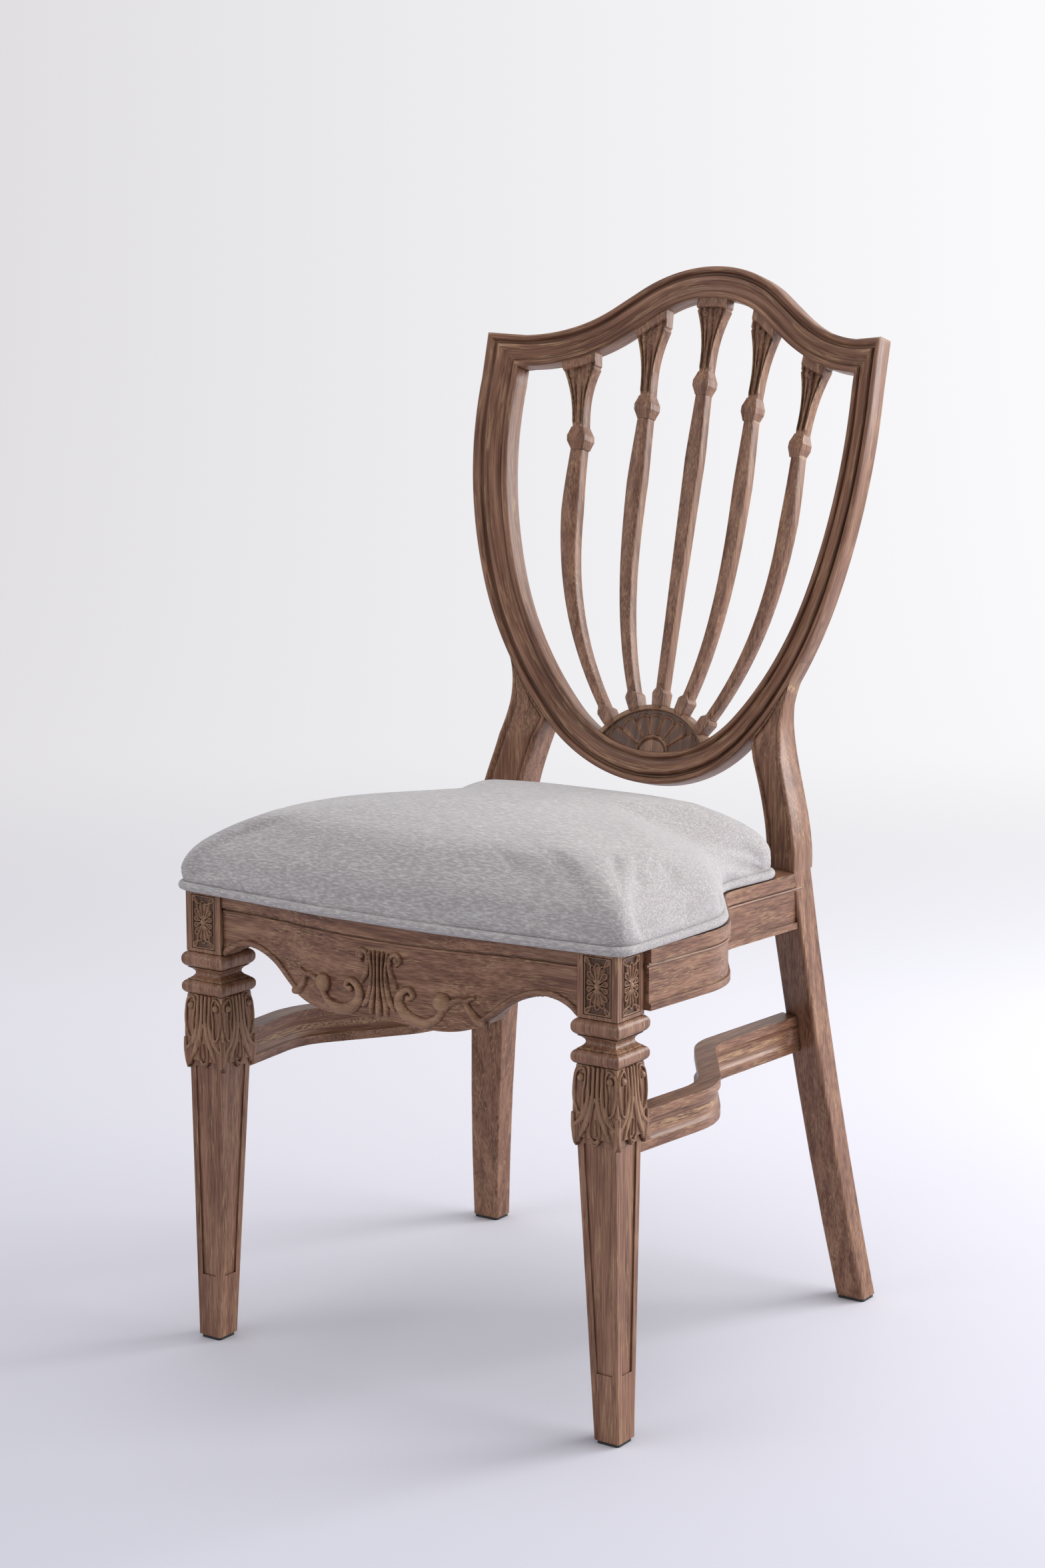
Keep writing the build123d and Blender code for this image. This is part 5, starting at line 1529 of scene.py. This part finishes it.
@dataclass(frozen=True)
class SeatPad:
    """Lift-off pad: woven cover, crowned and drawn in at the waist, with a piped lower edge."""

    # Across, depth and rounding of each corner of its right half: front, front corner, swell, waist,
    # rear corner and back
    corners: tuple[tuple[float, float, float], ...] = (
        (55 * MM, -19 * MM, 300 * MM),
        (235 * MM, -4 * MM, 15 * MM),
        (239 * MM, 148 * MM, 70 * MM),
        (167 * MM, 254 * MM, 60 * MM),
        (176 * MM, 346 * MM, 22 * MM),
        (80 * MM, 370 * MM, 180 * MM),
    )
    centre_y: float = 165 * MM
    base: float = 421.1 * MM
    crown: float = 71 * MM
    slack: float = 3 * MM
    piping: float = 4 * MM
    piping_z: float = 421.3 * MM
    voxel: float = 5 * MM
    frames: int = 20
    cap: float = 7 * MM
    pressure: float = 4.0

    def outline(self, scale: float) -> np.ndarray:
        """Draw the pad's plan, rounded at each corner.

        Args:
            scale: size about its middle.

        Returns:
            Row-frame X and Y of its edge.
        """
        around = (*self.corners, *((-x, y, radius) for x, y, radius in reversed(self.corners)))
        at = np.array([(x, y) for x, y, _ in around])
        ahead = np.roll(at, -1, axis=0)
        plan = np.vstack([corner_arc(at[k - 1], at[k], ahead[k], around[k][2], 12) for k in range(len(at))])
        plan = (plan - (0, self.centre_y)) * scale + (0, self.centre_y)
        return plan + (0, DATUM_Y)

    def stuffed(self) -> bpy.types.Object:
        """Model the starting form of the cushion, a little slack.

        Returns:
            The cushion.
        """
        share = np.array([0, 0.05, 0.12, 0.22, 0.34, 0.46, 0.58, 0.68, 0.78, 0.87, 0.95, 1.0])
        scale = np.array([0.985, 0.998, 1.01, 1.018, 1.014, 0.995, 0.957, 0.903, 0.82, 0.695, 0.49, 0.2])
        rings = [self.outline(s) for s in scale]
        heights = self.base + share * (self.crown - self.slack)
        points = np.vstack([np.insert(ring, 2, z, axis=1) for ring, z in zip(rings, heights)])
        return mesh_object("cushion", points, ring_faces(len(rings), len(rings[0])))

    def inflate(self, cushion: bpy.types.Object) -> None:
        """Round the starting form, then let air pressure swell the cover.

        Args:
            cushion: the starting form, whose lower edge stays held to the board.
        """
        bpy.context.view_layer.objects.active = cushion
        remesh = cushion.modifiers.new("even", "REMESH")
        remesh.mode = "VOXEL"
        remesh.voxel_size = self.voxel
        bpy.ops.object.modifier_apply(modifier=remesh.name)
        height = np.array([v.co[2] for v in cushion.data.vertices]) - self.base
        loose = cushion.vertex_groups.new(name="loose")
        for k, weight in enumerate(smooth(height, 6 * MM, 34 * MM)):
            loose.add([k], float(weight), "REPLACE")
        even = cushion.modifiers.new("rounded", "SMOOTH")
        even.factor, even.iterations, even.vertex_group = 0.5, 24, "loose"
        bpy.ops.object.modifier_apply(modifier=even.name)
        rest = np.array([v.co[:] for v in cushion.data.vertices])
        held = cushion.vertex_groups.new(name="held")
        held.add([int(k) for k in np.nonzero(rest[:, 2] < self.base + 4 * MM)[0]], 1.0, "REPLACE")
        cloth = cushion.modifiers.new("air", "CLOTH")
        cloth.settings.use_pressure = True
        cloth.settings.uniform_pressure_force = self.pressure
        cloth.settings.vertex_group_mass = "held"
        cloth.settings.effector_weights.gravity = 0.0
        scene = bpy.context.scene
        for step in range(1, self.frames + 1):
            scene.frame_set(step)
        seen = cushion.evaluated_get(bpy.context.evaluated_depsgraph_get())
        swollen = np.array([v.co[:] for v in seen.data.vertices])
        scene.frame_set(1)
        cushion.modifiers.remove(cloth)
        move = swollen - rest
        length = np.maximum(np.linalg.norm(move, axis=1, keepdims=True), 1e-9)
        move *= np.minimum(length, self.cap) / length
        cushion.data.vertices.foreach_set("co", (rest + move).astype(np.float32).ravel())
        cushion.data.update()

    def build(self, finishes: Finishes) -> None:
        """Model the cushion and its piping.

        Args:
            finishes: the chair's finishes.
        """
        cushion = self.stuffed()
        self.inflate(cushion)
        cushion.data.shade_smooth()
        cushion.modifiers.new("finer", "SUBSURF").render_levels = 1
        dress(cushion, finishes.twill, CLOTH_SLOT, PAD, "pad_cover", "pad_foam")
        path = self.outline(1.0)
        ahead = np.roll(path, -1, axis=0) - np.roll(path, 1, axis=0)
        ahead /= np.hypot(*ahead.T)[:, None]
        out = np.stack([ahead[:, 1], -ahead[:, 0]], axis=1)
        angle = np.linspace(0, 2 * math.pi, 14, endpoint=False)
        aside, rise = np.cos(angle) * self.piping, np.sin(angle) * self.piping
        rings = np.stack([
            np.insert(path + out * da, 2, self.piping_z + dz, axis=1) for da, dz in zip(aside, rise)
        ])
        count, around = len(path), len(angle)
        points = rings.transpose(1, 0, 2).reshape(-1, 3)
        faces = [
            (i * around + j, i * around + (j + 1) % around, (i + 1) % count * around + (j + 1) % around,
             (i + 1) % count * around + j)
            for i in range(count)
            for j in range(around)
        ]
        welt = mesh_object("welt_piping", points, faces)
        dress(welt, finishes.twill, CLOTH_SLOT, PAD, "pad_piping")


class PlainPieces:
    """CAD nodes that show as they are, each with its finish."""

    WOOD = {
        Grain.X: ("front_apron", "rear_rail"),
        Grain.Y: ("side_rail_left", "side_rail_right", "side_stretcher_left", "side_stretcher_right"),
        Grain.Z: ("front_leg_left", "front_leg_right", "rear_leg_left", "rear_leg_right"),
    }
    OTHER = {
        "rail_dowels": "beech_dowel",
        "back_dowels": "beech_dowel",
        "bow_dowels": "beech_dowel",
        "mitre_dowels": "beech_dowel",
        "corner_screws": "zinc_screw",
        "foot_glides": "foot_glide",
        "hook_strips": "hook_and_loop",
        "loop_strips": "hook_and_loop",
        "pad_board": "birch_ply",
        "pad_base_cloth": "base_cloth",
    }
    BLOCKS = ("corner_block_front_left", "corner_block_front_right", "corner_block_rear_left",
              "corner_block_rear_right")

    def build(self, finishes: Finishes) -> None:
        """Finish each carried-over node.

        Args:
            finishes: the chair's finishes.
        """
        for grain, nodes in self.WOOD.items():
            for node in nodes:
                self.finish(node, finishes.wood[grain], WOOD_SLOT)
        for node in self.BLOCKS:
            self.finish(node, finishes.wood[Grain.X], WOOD_SLOT)
        for node, slot in self.OTHER.items():
            self.finish(node, finishes.plain[slot], slot)

    def finish(self, node: str, material: bpy.types.Material, slot: str) -> None:
        """Give one node its material.

        Args:
            node: name of the CAD node.
            material: its finish.
            slot: not used.
        """
        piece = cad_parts[node]
        piece.data.materials.clear()
        piece.data.materials.append(material)
        LOG.info("%s: finished as %s", node, material.name)


@dataclass(frozen=True)
class Softbox:
    """Square area light aimed at a point."""

    name: str
    place: tuple[float, float, float]
    aim: tuple[float, float, float]
    size: float
    power: float

    def build(self) -> None:
        """Hang the light."""
        light = bpy.data.lights.new(self.name, "AREA")
        light.size, light.energy = self.size, self.power
        lamp = bpy.data.objects.new(self.name, light)
        lamp.location = self.place
        way = np.array(self.aim) - np.array(self.place)
        lamp.rotation_euler = (math.acos(-way[2] / np.linalg.norm(way)), 0.0, math.atan2(-way[0], way[1]))
        bpy.context.scene.collection.objects.link(lamp)


@dataclass(frozen=True)
class Studio:
    """Camera, pale sweep and soft light."""

    camera_at: tuple[float, float, float] = (1.4579, -2.1501, 0.9451)
    camera_turn: tuple[float, float, float] = (80.23, 0.0, 34.93)
    lamps: tuple[Softbox, ...] = (
        Softbox("key_right", (2.5, 0.75, 1.4), (0.0, 0.05, 0.5), 1.8, 36.0),
        Softbox("rim_back_right", (1.7, 2.0, 1.3), (0.0, 0.15, 0.65), 1.2, 50.0),
        Softbox("overhead", (0.2, 0.2, 3.0), (0.0, 0.0, 0.4), 2.6, 30.0),
        Softbox("front_fill", (-1.6, -3.0, 1.6), (0.0, 0.0, 0.5), 2.5, 26.0),
    )
    lens: float = 66.66
    ambient: float = 0.54
    backdrop: float = 0.8
    sky: str = "#f4f4f8"
    sweep_colour: str = "#e6e5ec"
    # Painted shade: floor colour close to the camera, darker than further back
    near: str = "#c8c8d3"
    # Painted light: glow of the far floor and backdrop at left and right, paler on the right where the key
    # light falls
    painted_light_left: str = "#dedcdf"
    painted_light_right: str = "#fafafc"
    sweep_back: float = 3.2
    sweep_front: float = -6.0
    sweep_radius: float = 1.8
    sweep_height: float = 5.0
    sweep_half: float = 9.0

    def build(self) -> None:
        """Set the camera, the sweep and the lights."""
        scene = bpy.context.scene
        lens = bpy.data.cameras.new("camera")
        lens.lens, lens.sensor_width, lens.sensor_fit = self.lens, 36.0, "AUTO"
        camera = bpy.data.objects.new("camera", lens)
        camera.location = self.camera_at
        camera.rotation_euler = [math.radians(a) for a in self.camera_turn]
        scene.collection.objects.link(camera)
        scene.camera = camera
        self.sweep()
        for lamp in self.lamps:
            lamp.build()
        world = bpy.data.worlds.new("studio")
        scene.world = world
        world.use_nodes = True
        tree = world.node_tree
        seen = add_node(tree, "LightPath").outputs["Is Camera Ray"]
        level = add_node(tree, "MapRange", Value=seen, To_Min=self.ambient, To_Max=self.backdrop)
        shade = tree.nodes["Background"]
        shade.inputs["Color"].default_value = srgb(self.sky)
        tree.links.new(level.outputs[0], shade.inputs["Strength"])
        scene.view_settings.view_transform = "Standard"

    def sweep(self) -> None:
        """Floor that curves up into a backdrop behind the chair, square to the camera."""
        bend = np.linspace(0, math.pi / 2, 24)
        run = np.concatenate([[self.sweep_front], self.sweep_back + self.sweep_radius * np.sin(bend),
                              [self.sweep_back + self.sweep_radius]])
        rise = np.concatenate([[0], self.sweep_radius * (1 - np.cos(bend)), [self.sweep_height]])
        heading = math.radians(self.camera_turn[2])
        ahead = np.array([-math.sin(heading), math.cos(heading)])
        right = np.array([math.cos(heading), math.sin(heading)])
        rows = []
        for side in (-self.sweep_half, self.sweep_half):
            plan = run[:, None] * ahead + side * right
            rows.append(np.column_stack([plan, rise]))
        count = len(run)
        faces = [(k, k + 1, count + k + 1, count + k) for k in range(count - 1)]
        mesh = bpy.data.meshes.new("studio_sweep")
        mesh.from_pydata(np.vstack(rows).tolist(), [], faces)
        mesh.shade_smooth()
        floor = bpy.data.objects.new("studio_sweep", mesh)
        bpy.context.scene.collection.objects.link(floor)
        mesh.materials.append(self.paint(ahead, right))
        floor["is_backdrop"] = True

    def paint(self, ahead: np.ndarray, right: np.ndarray) -> bpy.types.Material:
        """Make the pale paint: a real floor that takes shadows, with painted shade darkening it towards the
        camera, and far from the chair a painted glow for camera and glossy rays, paler to the right where the
        key light falls.

        Args:
            ahead: unit vector in plan, away from the camera.
            right: unit vector in plan, to the camera's right.

        Returns:
            The paint.
        """
        material, tree, shader = new_material("pale_studio_paint")
        place = add_node(tree, "TexCoord").outputs["Object"]
        near, aside = (
            add_node(tree, "VectorMath", operation="DOT_PRODUCT", _0=place, _1=(*way, 0.0)).outputs["Value"]
            for way in (ahead, right)
        )
        # Painted shade: the floor darkens towards the camera
        depth = add_node(tree, "MapRange", Value=near, From_Min=-0.9, From_Max=1.2).outputs[0]
        floor = add_node(tree, "Mix", data_type="RGBA", _0=depth)
        floor.inputs[6].default_value = srgb(self.near)
        floor.inputs[7].default_value = srgb(self.sweep_colour)
        tree.links.new(floor.outputs[2], shader.inputs["Base Color"])
        shader.inputs["Roughness"].default_value = 0.8
        # Painted light: far floor and backdrop glow for camera and glossy rays, paler to the right
        across = add_node(tree, "MapRange", Value=aside, From_Min=-1.6, From_Max=1.2).outputs[0]
        painted_light = add_node(tree, "Mix", data_type="RGBA", _0=across)
        painted_light.inputs[6].default_value = srgb(self.painted_light_left)
        painted_light.inputs[7].default_value = srgb(self.painted_light_right)
        glow = add_node(tree, "Emission", Color=painted_light.outputs[2])
        rays = add_node(tree, "LightPath").outputs
        seen = add_node(tree, "Math", operation="ADD", _0=rays["Is Camera Ray"], _1=rays["Is Glossy Ray"])
        seen = add_node(tree, "Math", operation="ADD", use_clamp=True, _0=seen.outputs[0],
                        _1=rays["Is Transmission Ray"])
        fade = dict(interpolation_type="SMOOTHSTEP", Value=near)
        behind = add_node(tree, "MapRange", **fade, From_Min=0.3, From_Max=3.4)
        before = add_node(tree, "MapRange", **fade, From_Min=-1.4, From_Max=-4.2)
        far = add_node(tree, "Math", operation="MAXIMUM", _0=behind.outputs[0], _1=before.outputs[0])
        share = add_node(tree, "Math", operation="MULTIPLY", _0=far.outputs[0], _1=seen.outputs[0])
        mixed = add_node(tree, "MixShader", Fac=share.outputs[0])
        tree.links.new(shader.outputs["BSDF"], mixed.inputs[1])
        tree.links.new(glow.outputs["Emission"], mixed.inputs[2])
        tree.links.new(mixed.outputs["Shader"], tree.nodes["Material Output"].inputs["Surface"])
        return material


def main() -> None:
    """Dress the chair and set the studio."""
    logging.basicConfig(level=logging.INFO, format="%(name)s %(message)s")
    finishes = Finishes()
    shield = Shield()
    shield.build(finishes)
    Fan(shield).build(finishes)
    inner = dict(top_x=59 * MM, foot_x=25 * MM, knop=326 * MM, bend=3.3, lean=0.06)
    outer = dict(top_x=122 * MM, foot_x=50 * MM, knop=291 * MM, bend=2.7, lean=0.12)
    Baluster("baluster_centre", 0.0, 0.0, 351 * MM, 3.3, 0.0).build(finishes)
    for name, sizes in (("inner", inner), ("outer", outer)):
        for side, word in ((1, "right"), (-1, "left")):
            placed = {**sizes, "top_x": side * sizes["top_x"], "foot_x": side * sizes["foot_x"],
                      "lean": side * sizes["lean"]}
            Baluster(f"baluster_{name}_{word}", **placed).build(finishes)
    for side in (1, -1):
        Upright(side, shield).build(finishes)
        FrontLeg(side).build(finishes)
        SideMouldings(side).build(finishes)
    Apron().build(finishes)
    SeatPad().build(finishes)
    PlainPieces().build(finishes)
    Studio().build()
    sizes = {"cad": [list(c) for c in CAD_BOX], "final": [list(c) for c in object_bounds()]}


if __name__ == "__main__":
    main()
